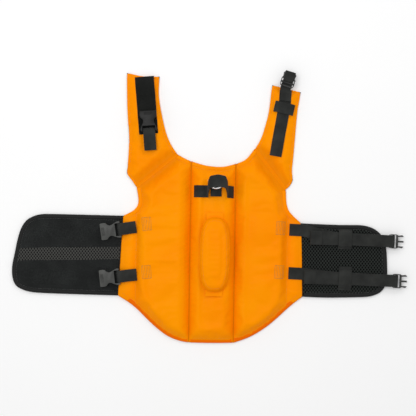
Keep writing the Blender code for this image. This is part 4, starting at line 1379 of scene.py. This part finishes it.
for panel, boxes in BOXES.items():
    lines = [line for box in boxes for line in box_lines(*box)]
    stitched(f"{panel}_box_stitches", lines, cloth[panel], BOX_THREAD, BODY_OF[panel],
             "orange_shell", lift=0.0, pitch=2.3, length=2.1, half=0.62)
grip_line = oval(GRIP_HALF - Vector((6.0, 7.0)), 60)
stitched("grip_stitches", [grip_line + grip_line[:1]], tree_of(grip), ORANGE_THREAD, "handle",
         "orange_shell")
print("stitches done")


# %% [markdown]
# ## Belly panels
# The left panel is loop cloth with a stripe of spacer mesh along its middle; the right one is
# spacer mesh all over. Both are thin pads, quilted a little by the stitches round the edge, and
# bound with folded tape.

# %% Belly pads
STRIPE = (-107.8, -82.8)


def belly_pad(belly):
    ring = RINGS[belly]
    low_x, high_x = min(p.x for p in ring), max(p.x for p in ring)
    lines = []
    if belly == "left_belly":
        for y in STRIPE:
            lines.append((Vector((low_x + 7, y - 6)), Vector((high_x - 5, y))))
    points, faces = filled(ring, 6.0, lines)
    starts = [ring[i - 1] for i in range(len(ring))]
    edge = segment_gaps(points, starts, ring).min(1)
    near = np.maximum(edge - 6.5, 0.0)
    if lines:
        near = np.minimum(near, segment_gaps(points, *zip(*lines)).min(1) * 0.5)
    rise = 3.9 + 0.95 * (1 - np.exp(-near / 4.0))
    rise += np.array([0.28 * noise.noise(Vector((p.x * 0.03, p.y * 0.05, 1.0))) for p in points])

    def mesh_or_loop(face):
        x, y = (sum(points[i][k] for i in face) / 3 for k in (0, 1))
        lean = 6 * (high_x - x) / (high_x - low_x)
        return 0 if belly == "right_belly" or STRIPE[0] - lean < y < STRIPE[1] - lean else 1

    tops = [min(z, BELLY_TOP - 0.15) for z in rise]
    bm = slab(points, faces, len(ring), tops, [0.7] * len(points), 1, 1, mesh_or_loop)
    mesh_finish = SPACER if belly == "right_belly" else STRIPE_MESH
    obj = subdivided(make(f"{belly}_pad", bm, [mesh_finish, LOOP_CLOTH], 180.0))
    obj.data.shade_smooth()
    slot = "black_mesh" if belly == "right_belly" else "black_cloth"
    dressed(obj, belly, slot, f"{belly}_backing", f"{belly}_foam", f"{belly}_face")
    section = [
        (6.5, 4.3), (6.2, 4.95), (3.0, 5.15), (0.4, 4.95), (-1.0, 4.0), (-1.35, 2.6),
        (-1.0, 1.2), (0.4, 0.2), (6.5, 0.15),
    ]
    for k, run in enumerate(free_runs(belly)):
        bound(f"{belly}_bound_edge_{k}", run, section, BIND, belly, "black_cloth",
              [f"{belly}_binding"] if k == 0 else ())
    return obj


bellies = {belly: belly_pad(belly) for belly in BELLIES}
for belly, obj in bellies.items():
    tree = tree_of(obj)
    lines = [inset_run(run, 7.6) for run in free_runs(belly) if len(run) > 4]
    stitched(f"{belly}_stitches", lines, tree, BLACK_THREAD, belly, "black_cloth", half=0.4)


# %% [markdown]
# ## Linings
# Under each pad lies a mesh lining, which is what the dog feels. It is one slack sheet, cut to
# the panel's pattern, that ripples a little between the stitches.

# %% Lining sheets
def lining(panel):
    ring = RINGS[panel]
    points, faces = filled(ring, 12.0)
    ripple = [0.32 * noise.noise(Vector((p.x * 0.035, p.y * 0.035, 4.0))) for p in points]
    bm = slab(points, faces, len(ring), [1.3 + r * 0.5 for r in ripple], [0.5 + r for r in ripple])
    obj = make(f"{panel}_lining_sheet", bm, LINING, 180.0)
    dressed(obj, BODY_OF[panel], "black_lining", f"{panel}_lining")
    wide = max(p.x for p in ring) - min(p.x for p in ring)
    long = max(p.y for p in ring) - min(p.y for p in ring)
    area = abs(sum(ring[i - 1].cross(ring[i]) for i in range(len(ring)))) / 2
    print(obj.name, round(wide), "x", round(long), "mm, cut area", round(area / 100), "cm2")


for panel in PANELS:
    lining(panel)
